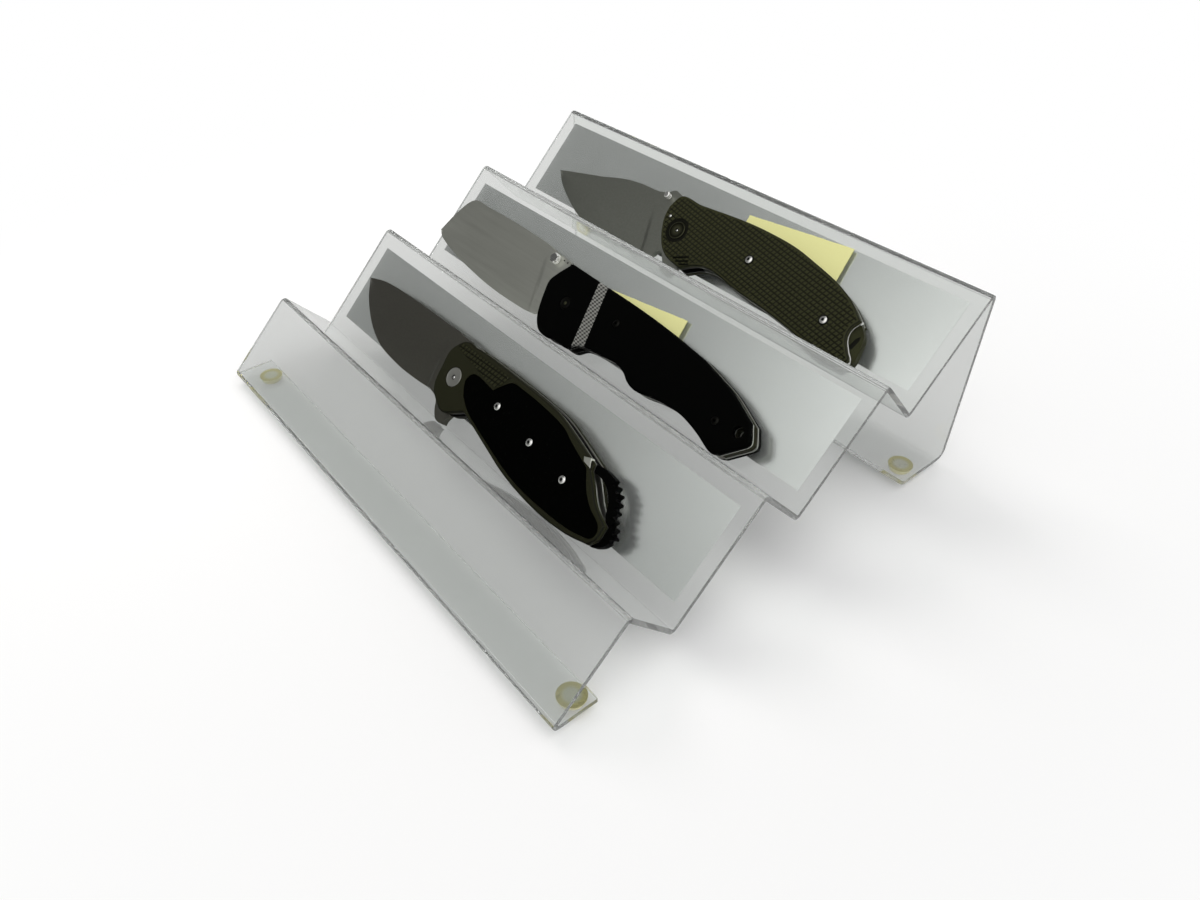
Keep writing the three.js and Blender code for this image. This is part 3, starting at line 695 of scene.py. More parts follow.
draw_out(on_sheet(corners[-1]) - on_sheet(here))
print("strip faces", choose(sheet, "FACE", lambda face: True))

# %% Round the free corners, thicken and polish
FREE_CORNER = 1.8
POLISH = 0.25
free_y = [on_sheet(corners[k]).y for k in (0, -1)]


def is_free_corner(vertex):
    x, y, z = vertex.co
    at_end = min(abs(x - stand_low.x), abs(x - stand_high.x)) < HERE
    return at_end and min(abs(y - edge_y) for edge_y in free_y) < HERE and z < front_corner.z + HERE


print("free corners", choose(sheet, "VERT", is_free_corner))
bpy.ops.mesh.bevel(offset=FREE_CORNER * MM, segments=6, profile=0.5, affect="VERTICES")
close_up()
if max(sheet.data.polygons, key=lambda face: face.area).normal.z < 0:
    sheet.data.flip_normals()
apply_modifier(sheet, "SOLIDIFY", thickness=SHEET_THICKNESS * MM, offset=-1, use_even_offset=True)
apply_modifier(sheet, "BEVEL", width=POLISH * MM, segments=2, limit_method="ANGLE", angle_limit=40 * DEGREE)
dress(sheet, Matrix.Identity(4), "acrylic_stand", acrylic, "stand", "clear_sheet", "display_stand")
top = max(vertex.co.z for vertex in sheet.data.vertices)
print("sheet top", round(top / MM, 2), "CAD", round(stand_high.z / MM, 2), "faces", len(sheet.data.polygons))

# %% [markdown]
# ## Feet
# The feet are soft, clear, stick-on bumpers that have yellowed. Each is a low, tapered disc with a rounded
# lower rim, drawn up ring by ring at the place that the model gives it. More rings on its flat upper face,
# which shows through the sheet, let the yellowing run from its middle to its rim.

# %% Four bumpers
FOOT_RINGS = [(3.6, 0), (4.5, 0.06), (5, 0.3), (5.35, 0.75), (5.6, 1.3), (6.1, 2.7), (6.3, 3.2), (6.3, 3.5)]
FOOT_RADIUS, FOOT_HEIGHT = FOOT_RINGS[-1]
CAP_RINGS = 5
CAP_STEP = 0.8


def is_foot_cap(face):
    return min(vertex.co.z for vertex in face.verts) > (FOOT_HEIGHT - 0.01) * MM and len(face.verts) > 4


for end in ("front_left", "front_right", "back_left", "back_right"):
    low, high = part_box(f"foot_{end}")
    middle = (low + high) / 2 / MM
    foot = turn_part(FOOT_RINGS, middle.x, middle.y, 48)
    edit(foot)
    for number in range(CAP_RINGS):
        choose(foot, "FACE", is_foot_cap)
        bpy.ops.mesh.inset(thickness=CAP_STEP * MM, depth=0)
    done()
    mark(foot, "ring", lambda x, y, z: math.hypot(x - middle.x, y - middle.y) / FOOT_RADIUS)
    dress(foot, Matrix.Identity(4), f"foot_{end}_bumper", bumper, "stand", "bumper", f"foot_{end}")
print("foot height", FOOT_HEIGHT)

# %% [markdown]
# ## Silver cards
# A thin card hangs behind the sheet of each tier. A card is never quite flat, and its reflections show it.
# So it is a fine grid, bowed by a fraction of a millimetre away from the sheet, with its own thickness.

# %% Three backing cards
CARD_LENGTH = 289.6
CARD_HEIGHT = 48.5
CARD_THICKNESS = 0.5
CARD_ABOVE_VALLEY = 8.7
CARD_GAP = 0.2
CARD_BOW = 0.25
for index in range(3):
    sheet_card = add(bpy.ops.mesh.primitive_grid_add, x_subdivisions=40, y_subdivisions=8, size=1)
    for vertex in sheet_card.data.vertices:
        x, y, z = vertex.co
        bow = CARD_BOW * (math.sin(5.1 * x + index) + math.sin(3.3 * x - 2.2 * y + 2 * index) - 2) / 4
        vertex.co = (x * CARD_LENGTH * MM, y * CARD_HEIGHT * MM, bow * MM)
    apply_modifier(sheet_card, "SOLIDIFY", thickness=CARD_THICKNESS * MM, offset=-1)
    middle = tier_matrix(index, stand_width / 2, CARD_ABOVE_VALLEY + CARD_HEIGHT / 2)
    place = middle @ Matrix.Translation((0, 0, -(SHEET_THICKNESS + CARD_GAP) * MM))
    dress(sheet_card, place, f"silver_card_{index + 1}", card, "stand", "card", f"backing_card_{index + 1}")
print("card", CARD_LENGTH, CARD_HEIGHT)

# %% [markdown]
# ## Paper pads
# Behind each knife is a small pad of pale yellow paper. Its sheets don't quite line up, which makes its edge
# look soft. Each sheet is a plane cut a little unevenly and turned a little, and three make a pad.

# %% Three pads of three sheets
PAD_LEVEL = 0.2
LEAF_THICKNESS = 0.2
PAD_SHEETS = 3
PADS = [((178, 25.5), (54, 21), 2), ((172.5, 27.6), (56, 34), 6.6), ((201.7, 36.9), (66, 34), 5.7)]
UNEVEN = 0.25
LEAF_TURN = 0.4
chance = random.Random(7)
for index, (middle, size, turn_degrees) in enumerate(PADS):
    sheets = []
    for number in range(PAD_SHEETS):
        leaf = add(bpy.ops.mesh.primitive_grid_add, x_subdivisions=36, y_subdivisions=20, size=1)
        for vertex in leaf.data.vertices:
            short = UNEVEN * chance.random()
            for axis, length in enumerate(size):
                share = vertex.co[axis]
                trimmed = math.copysign(short, share) if abs(share) > 0.499 else 0
                vertex.co[axis] = (share * length - trimmed) * MM
        apply_modifier(leaf, "SOLIDIFY", thickness=0.9 * LEAF_THICKNESS * MM, offset=1)
        small_turn = Matrix.Rotation(chance.uniform(-LEAF_TURN, LEAF_TURN) * DEGREE, 4, "Z")
        leaf.matrix_world = Matrix.Translation((0, 0, number * LEAF_THICKNESS * MM)) @ small_turn
        sheets.append(leaf)
    turned = Matrix.Translation((0, 0, PAD_LEVEL * MM)) @ Matrix.Rotation(turn_degrees * DEGREE, 4, "Z")
    place = tier_matrix(index, *middle) @ turned
    dress(join(sheets), place, f"paper_pad_{index + 1}", paper, "stand", "pad", f"mounting_pad_{index + 1}")
print("pads", len(PADS))

# %% [markdown]
# ## How a folding knife is layered
# From the tier outwards: rear scale, rear liner, washer, blade, washer, front liner, front scale. The back
# spacer fills the same space as the blade and its washers, along the back of the handle. Levels are measured
# from the tier's face. The outlines are measured from the pivot, in smooth runs that meet in corners.

# %% Levels of the layers
REAR_SCALE = (1.0, 3.5)
REAR_LINER = (3.7, 4.7)
SPACER_LAYER = (4.9, 9.3)
BLADE_LAYER = (5.5, 8.7)
FRONT_LINER = (9.5, 10.5)
FRONT_SCALE = (10.7, 13.2)
FACE = FRONT_SCALE[1]
RUN_GAP = 0.2
BARREL = 3.0


def fit(piece, knife, name, look, node="", body=""):
    """Dresses a piece of a knife. Its name, its body and its node all start with the knife's own name"""
    knife_name = f"knife_{knife + 1}"
    nodes = [f"{knife_name}_{node}"] if node else []
    finish, slot = look
    dress(piece, knife_places[knife], f"{knife_name}_{name}", finish, knife_name + body, slot, *nodes)


print("knife from", REAR_SCALE[0], "to", FACE)

# %% Outlines of the three handles
HANDLES = [
    [
        [(1.8, 19), (-2.9, 19.3), (-7.4, 17.9), (-12, 12.2), (-13.2, 8.3), (-12.2, 1.1), (-10.7, -7.5),
         (-7.9, -12), (-2.8, -15.3)],
        [(2.6, -17.8), (6.5, -17.8), (14.2, -13.7), (18.9, -11), (22.8, -11.7), (46.3, -17.4), (60.8, -20.8),
         (78.4, -23.1), (96, -23.7), (112.1, -22.3)],
        [(124.5, -19.4), (127, -15.4)],
        [(127.1, -8.1), (117, -3.5), (109.1, 3.2)],
        [(104.3, 7.1)],
        [(103.3, 10.5), (86.5, 15.1), (70.6, 18.7), (56.1, 19.5), (34.1, 19.8), (6.6, 19.6)],
    ],
    [
        [(-10.9, 19.8), (-16.9, 11.1), (-19.3, 5.7), (-18, -1.1), (-14.3, -11.5), (-11.2, -16.3),
         (-6.8, -19.8), (-1, -20.9), (8.2, -19.7), (18, -19.4), (23.3, -15.3), (28.1, -13.9), (38.7, -12.8),
         (50.5, -11.6), (58, -13.3), (62.9, -16), (69.5, -17.4), (83.4, -15.1), (98.3, -14.3),
         (106.6, -15.6), (114.1, -17.6), (124.9, -21)],
        [(129, -19.7)],
        [(138.4, -9.9), (139.2, -7.5)],
        [(134.1, 0.4), (128.4, 2.9), (115.4, 8.2), (104.9, 10.8)],
        [(93.3, 13.6), (84.9, 14.3), (61.8, 16.9), (39.6, 18.2), (20.2, 18.8)],
    ],
    [
        [(4.2, 18.1), (-10.6, 18)],
        [(-14.2, 9.9), (-13.2, 3.3), (-8.7, -5.3), (-3.1, -11.7), (2.6, -15.1), (11.3, -17)],
        [(15.3, -17.6), (24, -12.4), (33, -10.6), (54.1, -13.5), (76.1, -15.5), (96, -18.4), (113, -22),
         (122.6, -21.8)],
        [(126.7, -21.7), (130.2, -17.5)],
        [(127, -14.1), (122.9, -9.1), (121.8, -4.1)],
        [(124, 1.3), (114.1, 7.8), (102.8, 12.4), (85.9, 16.5), (70.6, 19.4), (52.8, 20.5), (35.7, 20.4)],
    ],
]
handles = [outline_of(runs) for runs in HANDLES]
print("handle outline points", [len(handle) for handle in handles])

# %% Outlines set in or out
MITRE_LIMIT = 0.6
KEEP_OFF = 0.97


def counter_clockwise(points):
    area = sum(a[0] * b[1] - b[0] * a[1] for a, b in zip(points, points[1:] + points[:1]))
    return points if area > 0 else points[::-1]


def off_line(spot, sides):
    """How far a point is from the nearest side of an outline"""
    nearest = math.inf
    for a, b in sides:
        share = (spot - a).dot(b - a) / (b - a).length_squared
        nearest = min(nearest, (spot - a.lerp(b, min(max(share, 0), 1))).length)
    return nearest


def set_in(points, distance):
    """Moves a closed outline inwards by a distance, or outwards by a negative one, without crossings"""
    points = [Vector(point) for point in counter_clockwise(points)]
    sides = list(zip(points, points[1:] + points[:1]))
    moved = []
    for (before, point), (_, after) in zip(sides[-1:] + sides, sides):
        a = (point - before).normalized()
        b = (after - point).normalized()
        side = Vector((-a.y - b.y, a.x + b.x)).normalized()
        moved.append(point + side * distance / max(MITRE_LIMIT, side.x * -a.y + side.y * a.x))
    return [tuple(spot) for spot in moved if off_line(spot, sides) > KEEP_OFF * abs(distance)]


# %% [markdown]
# ## Liners, rear scales and back spacers
# These are flat plates cut to an outline. Only their edges show, past the rim of the front scale and round
# the butt, so those edges get their rounding and their holes, and the faces stay plain.

# %% Where the holes are
SCREWS = [[(37, 2.7), (66.4, -0.9), (94.4, -4.4)], [(37.7, 5.3), (118, -7.7)], [(51.5, 3.3), (107.5, -6.3)]]
SCREW_SHANK = 1.1
LANYARD_HOLE = (131.2, -6.1)
LANYARD_RADIUS = 2.8
COMB = [(-0.5 + 1.7 * i, -20.9 + 0.13 * i) for i in range(11)] + [(19.6, -18.3), (21, -17.2), (22.3, -16.1)]
COMB_RADIUS = 0.5


def bore(piece, knife, screws=True):
    """Drills the pivot, screw and lanyard holes of one plate"""
    drill(piece, 0, 0, BARREL + RUN_GAP)
    for x, y in SCREWS[knife] if screws else []:
        drill(piece, x, y, SCREW_SHANK + RUN_GAP, sides=20)
    if knife == 1:
        drill(piece, *LANYARD_HOLE, LANYARD_RADIUS)


def cut_comb(piece, knife):
    """The middle knife has small notches along its lower front edge, where a finger rests"""
    for x, y in COMB if knife == 1 else []:
        drill(piece, x, y, COMB_RADIUS, sides=12)


# %% Liners and rear scales
LINER_ROUNDING = 0.12
REAR_ROUNDING = 0.8
SCALE_LOOKS = [(olive, "olive_scale"), (black_laminate, "black_scale"), (pale_olive, "olive_scale")]


def turn_over(piece):
    """Turns a flat piece's lower face up, about level 0"""
    edit(piece)
    bpy.ops.transform.resize(value=(1, 1, -1), center_override=(0, 0, 0))
    close_up()
    return piece


def painted_shade_at_lower_front(x, y, z):
    """The lower front edge of a liner, which lies in the shade between the scales and gets painted shade"""
    return x < 26 and y < -8


for knife, handle in enumerate(handles):
    for side, layer in (("front", FRONT_LINER), ("rear", REAR_LINER)):
        plate = cut_plate(set_in(handle, RUN_GAP), *layer, LINER_ROUNDING, 2)
        bore(plate, knife, side == "front")
        cut_comb(plate, knife)
        # The lower front edge of each liner gets painted shade
        mark(plate, "groove", painted_shade_at_lower_front)
        fit(plate, knife, f"{side}_liner_plate", (liner, "liner"), f"{side}_liner")
    low, high = REAR_SCALE
    plate = turn_over(cut_plate(handle, -high, -low, REAR_ROUNDING))
    bore(plate, knife, False)
    fit(plate, knife, "rear_grip", SCALE_LOOKS[knife], "rear_scale")
print("liners 6, rear scales 3")

# %% Outlines of the back spacers
SPACERS = [
    [
        [(27.6, 18.7), (45.6, 19.3), (59.6, 18.7), (72.6, 17.7), (86.6, 14.6), (94.8, 12), (102.9, 10.4),
         (108, 11)],
        [(131, -13.8), (129.1, -16.9), (123.9, -19.9)],
        [(121, -17.6), (125.1, -13.5), (125, -8.6), (121.8, -5), (119.6, -0.4), (115.6, 3.8), (110.6, 6.3),
         (102.6, 7.3), (94.6, 10.3), (72.6, 14.3), (45.6, 16.1)],
        [(27.6, 16.1)],
    ],
    [
        [(26.6, 18.2), (39.6, 17.8), (61.8, 16.4), (84.9, 13.8), (93.3, 13.1)],
        [(104.9, 10.3), (115.4, 7.7), (128.4, 2.4)],
        [(133.8, 0)],
        [(138.6, -7.4), (138, -9.7)],
        [(128.9, -19.1)],
        [(127.6, -17.8), (128.2, -9)],
        [(128, 0.8)],
        [(116, 4.6), (102, 7.6), (84, 10.8), (62, 13.7), (40, 15)],
        [(26.6, 15.2)],
    ],
    [
        [(27.7, 19.6), (35.7, 19.9), (52.8, 20), (70.6, 18.9), (85.9, 16), (102.8, 11.9), (114.1, 7.3)],
        [(122.2, 1.9), (126.1, -1.3), (129.1, -4.9), (130.2, -8.7), (131.4, -14.4), (131.7, -17),
         (129.1, -20.8)],
        [(120, -20.6), (121.2, -16), (121.6, -9.8), (118.7, -2.8), (112.4, 4), (102.8, 8.1), (85.9, 12.4),
         (70.6, 15.2), (52.8, 16.9)],
        [(27.7, 17.4)],
    ],
]
SPACER_FINISHES = [black_laminate, olive, pale_olive]
TOOTHED_RIM = [(114.4, 9.4), (120.8, 5.8), (123.9, 1.3), (127.1, -5.4), (131.1, -9.7), (131, -13.8)]
TEETH = 8
TOOTH_DEPTH = 0.9


def walk(points, share):
    """The point at a share of a smooth curve's length, and the curve's direction there"""
    line = [Vector(point) for point in spline(points, 24)] + [Vector(points[-1])]
    lengths = [0.0]
    for a, b in zip(line, line[1:]):
        lengths.append(lengths[-1] + (b - a).length)
    goal = share * lengths[-1]
    i = next(k for k in range(1, len(line)) if lengths[k] >= goal - 1e-9)
    a, b = line[i - 1], line[i]
    return a.lerp(b, (goal - lengths[i - 1]) / (lengths[i] - lengths[i - 1])), (b - a).normalized()


toothed = []
for i in range(4 * TEETH):
    spot, along = walk(TOOTHED_RIM, i / (4 * TEETH))
    depth = -TOOTH_DEPTH if i % 4 < 2 else TOOTH_DEPTH
    toothed.append([(spot.x + along.y * depth, spot.y - along.x * depth)])
SPACERS[0][1:1] = toothed
print("teeth", TEETH)

# %% Back spacers
BUTT_POCKET = [
    [(124.4, -10.8)],
    [(125.3, -6.6), (126.9, -4.6)],
    [(127.6, -6.4)],
    [(126.8, -11.2), (125.8, -12.2)],
]
POCKET_DEPTH = 0.6
POCKET_FLOOR = SPACER_LAYER[1] - POCKET_DEPTH
SPACER_ROUNDING = 0.15
for knife, (runs, finish) in enumerate(zip(SPACERS, SPACER_FINISHES)):
    plate = cut_plate(outline_of(runs, 4), *SPACER_LAYER, SPACER_ROUNDING, 2)
    if knife == 1:
        drill(plate, *LANYARD_HOLE, LANYARD_RADIUS)
    if knife == 2:
        cut_out(plate, outline_of(BUTT_POCKET), POCKET_FLOOR)
        # The floor of the top knife's butt pocket gets painted shade
        mark(plate, "groove", lambda x, y, z: 120 < x < 128.6 and abs(z - POCKET_FLOOR) < 0.1)
    fit(plate, knife, "spine_spacer", (finish, "spacer"), "back_spacer")
print("spacers", len(SPACERS))

# %% [markdown]
# ## Front scales
# The front scale is what the eye meets. It is a plate with a rounded rim and a seat for the pivot's head.
# The lowest knife has a pocket for a black inlay, the middle one a slanted channel for a woven band.

# %% Front scales and what is let into them
HEAD_RADII = [5.2, 3.4, 5.0]
HEAD_SEAT = FACE - 1.2
INSERT_FLOOR = FACE - 1.2
INLAY_FACE = FACE + 0.2
INLAY_ROUNDING = 0.35
BAND_GAP = 0.05
INLAY = [
    [(13.2, -4.2), (9.7, 0.3), (8.7, 3), (9.7, 6.2), (12.7, 8.1)],
    [(28.4, 7.3), (31.6, 11.2), (36.3, 15.8)],
    [(39.1, 16.8), (58.8, 16.5), (78.8, 14.5), (86.5, 11.6)],
    [(101.8, 6.6), (108.5, -1.2), (115.5, -6.2), (123.5, -9.6), (125.4, -12.5), (124.4, -16.2), (119, -18.2),
     (109.8, -19.9), (96, -20.7), (75.9, -20.5), (63.1, -18.9), (43.8, -14.7), (20.7, -8.6)],
]
BAND = [(12.2, 21.5), (19.2, 21.5), (28.2, -15.5), (20.6, -18.5)]
SCALE_ROUNDING = [1.1, 1.3, 1.1]

front_scales = []
for knife, handle in enumerate(handles):
    plate = cut_plate(handle, *FRONT_SCALE, SCALE_ROUNDING[knife], 5)
    bore(plate, knife)
    drill(plate, 0, 0, HEAD_RADII[knife] + RUN_GAP, HEAD_SEAT, 48)
    cut_comb(plate, knife)
    front_scales.append(plate)

inlay_outline = outline_of(INLAY)
cut_out(front_scales[0], set_in(inlay_outline, -RUN_GAP), INSERT_FLOOR)
inlay = cut_plate(inlay_outline, INSERT_FLOOR + RUN_GAP, INLAY_FACE, INLAY_ROUNDING, 3)
for x, y in SCREWS[0]:
    drill(inlay, x, y, SCREW_SHANK + RUN_GAP, sides=20)
fit(inlay, 0, "grip_inlay", (black_rubber, "black_inlay"), "handle_inlay")

cut_out(front_scales[1], set_in(BAND, -BAND_GAP), INSERT_FLOOR)
band = cut_plate(BAND, INSERT_FLOOR + RUN_GAP, FACE)
combine(band, cut_plate(handles[1], *FRONT_SCALE, SCALE_ROUNDING[1], 5), "INTERSECT")
fit(band, 1, "woven_band", (weave, "woven_band"), "handle_band")
print("front scales", len(front_scales))

# %% [markdown]
# ## Checkering
# The grip of the top knife is covered with small raised diamonds, and the lowest knife has a patch of longer
# ones beside its pivot. A field of diamonds is one grid, turned and stretched until its cells are diamonds.
# Every cell is inset and lifted by itself, the field gets a body, and a cutter trims it to its outline.


# %% A field of diamonds
def diamond_field(middle, reach, cell, angle, base, rise, groove, trim):
    """Raised diamonds of that cell (long and short diagonal), trimmed to an outline"""
    number = int(2 * reach / min(cell)) + 2
    add_grid = bpy.ops.mesh.primitive_grid_add
    field = add(add_grid, x_subdivisions=number, y_subdivisions=number, size=number * MM)
    edit(field)
    bpy.ops.transform.rotate(value=45 * DEGREE, orient_axis="Z", center_override=(0, 0, 0))
    stretch = [size / math.sqrt(2) for size in cell]
    bpy.ops.transform.resize(value=(*stretch, 1), center_override=(0, 0, 0))
    bpy.ops.transform.rotate(value=angle * DEGREE, orient_axis="Z", center_override=(0, 0, 0))
    bpy.ops.transform.translate(value=(middle[0] * MM, middle[1] * MM, base * MM))
    margin = max(cell)
    spans = [(min(values) - margin, max(values) + margin) for values in zip(*trim)]

    def outside(face):
        return not all(low < at / MM < high for at, (low, high) in zip(face.calc_center_median(), spans))

    choose(field, "FACE", outside)
    bpy.ops.mesh.delete(type="FACE")
    bpy.ops.mesh.select_all(action="SELECT")
    bpy.ops.mesh.inset(thickness=groove * MM, depth=rise * MM, use_individual=True)
    done()
    edit(field)
    choose_rims()
    draw_out((0, 0, -MM))
    bpy.ops.mesh.edge_face_add()
    close_up()
    combine(field, cut_plate(trim, base - 0.5, base + rise + 1), "INTERSECT")
    return field


def painted_checker_shade(floor, top):
    """How much painted shade a point of the checkering gets: 1 on its floor, 0 on the diamonds and on the
    smooth parts
    """
    def shade(x, y, z):
        return min(max((top - z) / (top - floor), 0), 1) if floor - 0.25 < z < top else 0
    return shade


# %% Diamonds on the top knife
CHECKER_BORDER = 1.3
CHECKER_RISE = 0.35
CHECKER_FLOOR = FACE - CHECKER_RISE
CHECKER_CELL = (3.9, 3.0)
CHECKER_ANGLE = -28
CHECKER_GROOVE = 0.55
SMOOTH_ROUND_PIVOT = 7.2
SMOOTH_ROUND_SCREW = 2.7
GUARD_GROOVES = [((8, -14.2), (17.6, -9.8)), ((10.8, -15.4), (18.6, -11.9)), ((14.2, -16), (20, -13.5))]
GUARD_GROOVE_FLOOR = FACE - 0.55
GUARD_GROOVE_HALF = 0.5
outline = set_in(handles[2], CHECKER_BORDER)
cells = CHECKER_CELL, CHECKER_ANGLE, CHECKER_FLOOR, CHECKER_RISE, CHECKER_GROOVE
checker = diamond_field((55, 0), 112, *cells, outline)
drill(checker, 0, 0, SMOOTH_ROUND_PIVOT, sides=48)
for x, y in SCREWS[2]:
    drill(checker, x, y, SMOOTH_ROUND_SCREW, sides=24)
cut_out(front_scales[2], set_in(outline, -0.02), CHECKER_FLOOR - 0.2)
for start, end in GUARD_GROOVES:
    start, end = Vector(start), Vector(end)
    half = (end - start).normalized().orthogonal() * GUARD_GROOVE_HALF
    strip = [tuple(corner) for corner in (start - half, end - half, end + half, start + half)]
    for target in (front_scales[2], checker):
        cut_out(target, counter_clockwise(strip), GUARD_GROOVE_FLOOR)
print("checkered faces", len(checker.data.polygons))
front_scales[2] = join([front_scales[2], checker])
# Painted shade on the floors of the checkering and of the guard grooves
mark(front_scales[2], "groove", painted_checker_shade(CHECKER_FLOOR, CHECKER_FLOOR + 0.33))

# %% Diamonds on the lowest knife
PATCH = [(-9.4, 13.9), (-7.1, 16.8), (34.1, 17.6), (29.6, 9.4), (22.2, 9.0)]
PATCH_FLOOR = FACE - 0.3
PATCH_RISE = 0.5
PATCH_CELL = (4.2, 3.0)
PATCH_ANGLE = -38
PATCH_GROOVE = 0.52
PATCH_GAP = 0.1
cut_out(front_scales[0], set_in(PATCH, -PATCH_GAP), PATCH_FLOOR)
cells = PATCH_CELL, PATCH_ANGLE, PATCH_FLOOR, PATCH_RISE, PATCH_GROOVE
patch = diamond_field((12, 13), 36, *cells, PATCH)
front_scales[0] = join([front_scales[0], patch])
# Painted shade on the floors of the patch of diamonds
mark(front_scales[0], "groove", painted_checker_shade(PATCH_FLOOR, PATCH_FLOOR + PATCH_RISE))
for knife, (plate, look) in enumerate(zip(front_scales, SCALE_LOOKS)):
    fit(plate, knife, "front_grip", look, "front_scale")
print("grips", [len(plate.data.polygons) for plate in front_scales])

# %% [markdown]
# ## Blades
# A blade is ground from a flat bar: the flat runs along the spine, a bevel falls from the grind line to the
# edge, and a last narrow bevel makes it sharp. The blade is a grid wrapped round that section, station by
# station from the tang to the point, and joined to the flat tang plate with its heel or flipper.

# %% Outlines of the blades
BLADES = [
    {
        "edge": [(-15.7, -13.3), (-38.2, -15.7), (-54.8, -15.5), (-70.7, -13.7), (-86.3, -7.7),
                 (-101.8, 3.2), (-109.8, 12.8)],
        "spine": [(-16.4, 19.5), (-32.1, 19.5), (-63.8, 18.8), (-94.4, 16.7), (-109.8, 12.8)],
        "grind": 0.72,
        "plunge": [(-22, 12), (-17.5, -14)],
        "tang_radius": 10,
        "shoulder": (-8.4, 19.4),
        "hump": [],
        "heel": [
            [(4.1, -9.1), (4.8, -14.2)],
            [(8, -17.5), (6.8, -21.5)],
            [(7.1, -23.6), (3, -24.3), (-0.1, -23.8), (-3.9, -20.4), (-7.5, -15.6)],
        ],
        "look": (dark_blade, "dark_blade"),
    },
    {
        "edge": [(-23.7, -14.7), (-45.6, -15.9), (-65, -15.6), (-82.8, -14.1), (-101, -11.9), (-123, -7),
                 (-127.1, -4.3)],
        "spine": [(-33.1, 21.7), (-57.9, 23.2), (-78.6, 23.4), (-98, 23.1), (-114, 22.3), (-120.5, 14),
                  (-127.1, -4.3)],
        "grind": 0.76,
        "plunge": [(-32.6, 11.2), (-25.3, -7.5)],
        "tang_radius": 11,
        "shoulder": (-8.4, 19.6),
        "hump": [],
        "heel": [[(0, -11), (-8, -11.3), (-17, -11.8)], [(-21.4, -14.2)]],
        "look": (satin_blade, "satin_blade"),
    },
    {
        "edge": [(-9.2, -17.7), (-34.5, -20.6), (-50.3, -21.1), (-64.8, -20.8), (-79.2, -17.2),
                 (-88.9, -13.3), (-103.9, -5.4), (-111.6, 1.2)],
        "spine": [(-23.9, 17.5), (-30.1, 16), (-45.1, 15.5), (-58.7, 13.8), (-76.3, 9.2), (-94.4, 5.2),
                  (-111.6, 1.2)],
        "grind": 0.6,
        "plunge": [(-26, 8), (-18, -15)],
        "tang_radius": 10,
        "shoulder": (-8.4, 17.6),
        "hump": [(-16, 19.6), (-20.1, 20.2)],
        "heel": [
            [(4.1, -9.1), (6.3, -13.2)],
            [(11, -16.4), (10.1, -21.5)],
            [(2.7, -21.3), (-1.1, -17.1)],
            [(-4.5, -13.9), (-7.1, -13.8)],
        ],
        "look": (grey_blade, "grey_blade"),
    },
]
BLADE_MIDDLE = sum(BLADE_LAYER) / 2
HALF_BLADE = (BLADE_LAYER[1] - BLADE_LAYER[0]) / 2
INTO_TANG = 2
POINT_TAPER = 0.45
EDGE_HALF = 0.14
SHARP_HALF = 0.02
SHARP_HEIGHT = 1.0
SPINE_CHAMFER = 0.3
PLUNGE_WIDTH = 2.2
GRIND_HOLLOW = 1.12

# Shares of a blade's length: close together at the plunge and at the point, wider between
STATIONS = [0.008 * i for i in range(30)]
STATIONS += [0.24 + 0.0245 * i for i in range(28)]
STATIONS += [0.926 + 0.0093 * i for i in range(8)]
print("blade stations", len(STATIONS))


# %% The ground part of a blade
def section(blade, share):
    """One closed ring of points round the blade, from the edge over the front face and back"""
    ends = []
    for line in (blade["edge"], blade["spine"]):
        start = Vector(line[0])
        lead = tuple(start * (1 - INTO_TANG / start.length))
        ends.append(walk([lead, *line], share)[0])
    edge, spine = ends
    height = max((spine - edge).length, 0.3)
    half = HALF_BLADE * (1 - POINT_TAPER * share)
    sharp = min(SHARP_HEIGHT / height, 0.3)
    chamfer = min(SPINE_CHAMFER / height, 0.1)
    grind = blade["grind"]
    rows = [0, sharp] + [sharp + (grind - sharp) * k / 4 for k in (1, 2, 3, 4)]
    rows += [(grind + 1) / 2, 1 - chamfer, 1]
    upper, lower = (Vector(spot) for spot in blade["plunge"])
    across = (upper - lower).normalized()
    across = Vector((-across.y, across.x))
    front = []
    for row in rows:
        point = edge.lerp(spine, row)
        ground = half
        if row < sharp * 0.5:
            ground = SHARP_HALF
        elif row <= grind:
            ground = EDGE_HALF + (half - EDGE_HALF) * ((row - sharp) / (grind - sharp)) ** GRIND_HOLLOW
        away = min(max((point - lower).dot(across) / PLUNGE_WIDTH, 0), 1)
        thick = half + (ground - half) * away * away * (3 - 2 * away)
        if row > 1 - chamfer / 2:
            thick -= SPINE_CHAMFER * 0.8
        front.append((point.x, point.y, thick))
    return front + [(x, y, -z) for x, y, z in reversed(front)]


def ground_blade(blade):
    rings = [section(blade, share) for share in STATIONS]
    across = len(rings[0])
    add_grid = bpy.ops.mesh.primitive_grid_add
    bar = add(add_grid, x_subdivisions=across, y_subdivisions=len(rings) - 1, size=1)
    ordered = sorted(bar.data.vertices, key=lambda vertex: (round(vertex.co.y, 5), round(vertex.co.x, 5)))
    for i, vertex in enumerate(ordered):
        x, y, z = rings[i // (across + 1)][i % (across + 1) % across]
        vertex.co = (x * MM, y * MM, (BLADE_MIDDLE + z) * MM)
    edit(bar)
    bpy.ops.mesh.remove_doubles(threshold=1e-6)
    choose_rims()
    bpy.ops.mesh.fill_holes(sides=0)
    close_up()
    return bar


# %% Whole blades
TANG_STEPS = 24
STUDS = {1: ((-26.5, 17.5), 3.0, 3.3), 2: ((-21.5, 15.4), 1.8, 3.6)}
STUD_SHANK = 1.0
JIMPING = [(-21.6, 19.2), (-18.5, 19.1), (-15.4, 19.0)]
JIMPING_RADIUS = 0.55
JIMPING_FLOOR = BLADE_LAYER[1] - 0.9


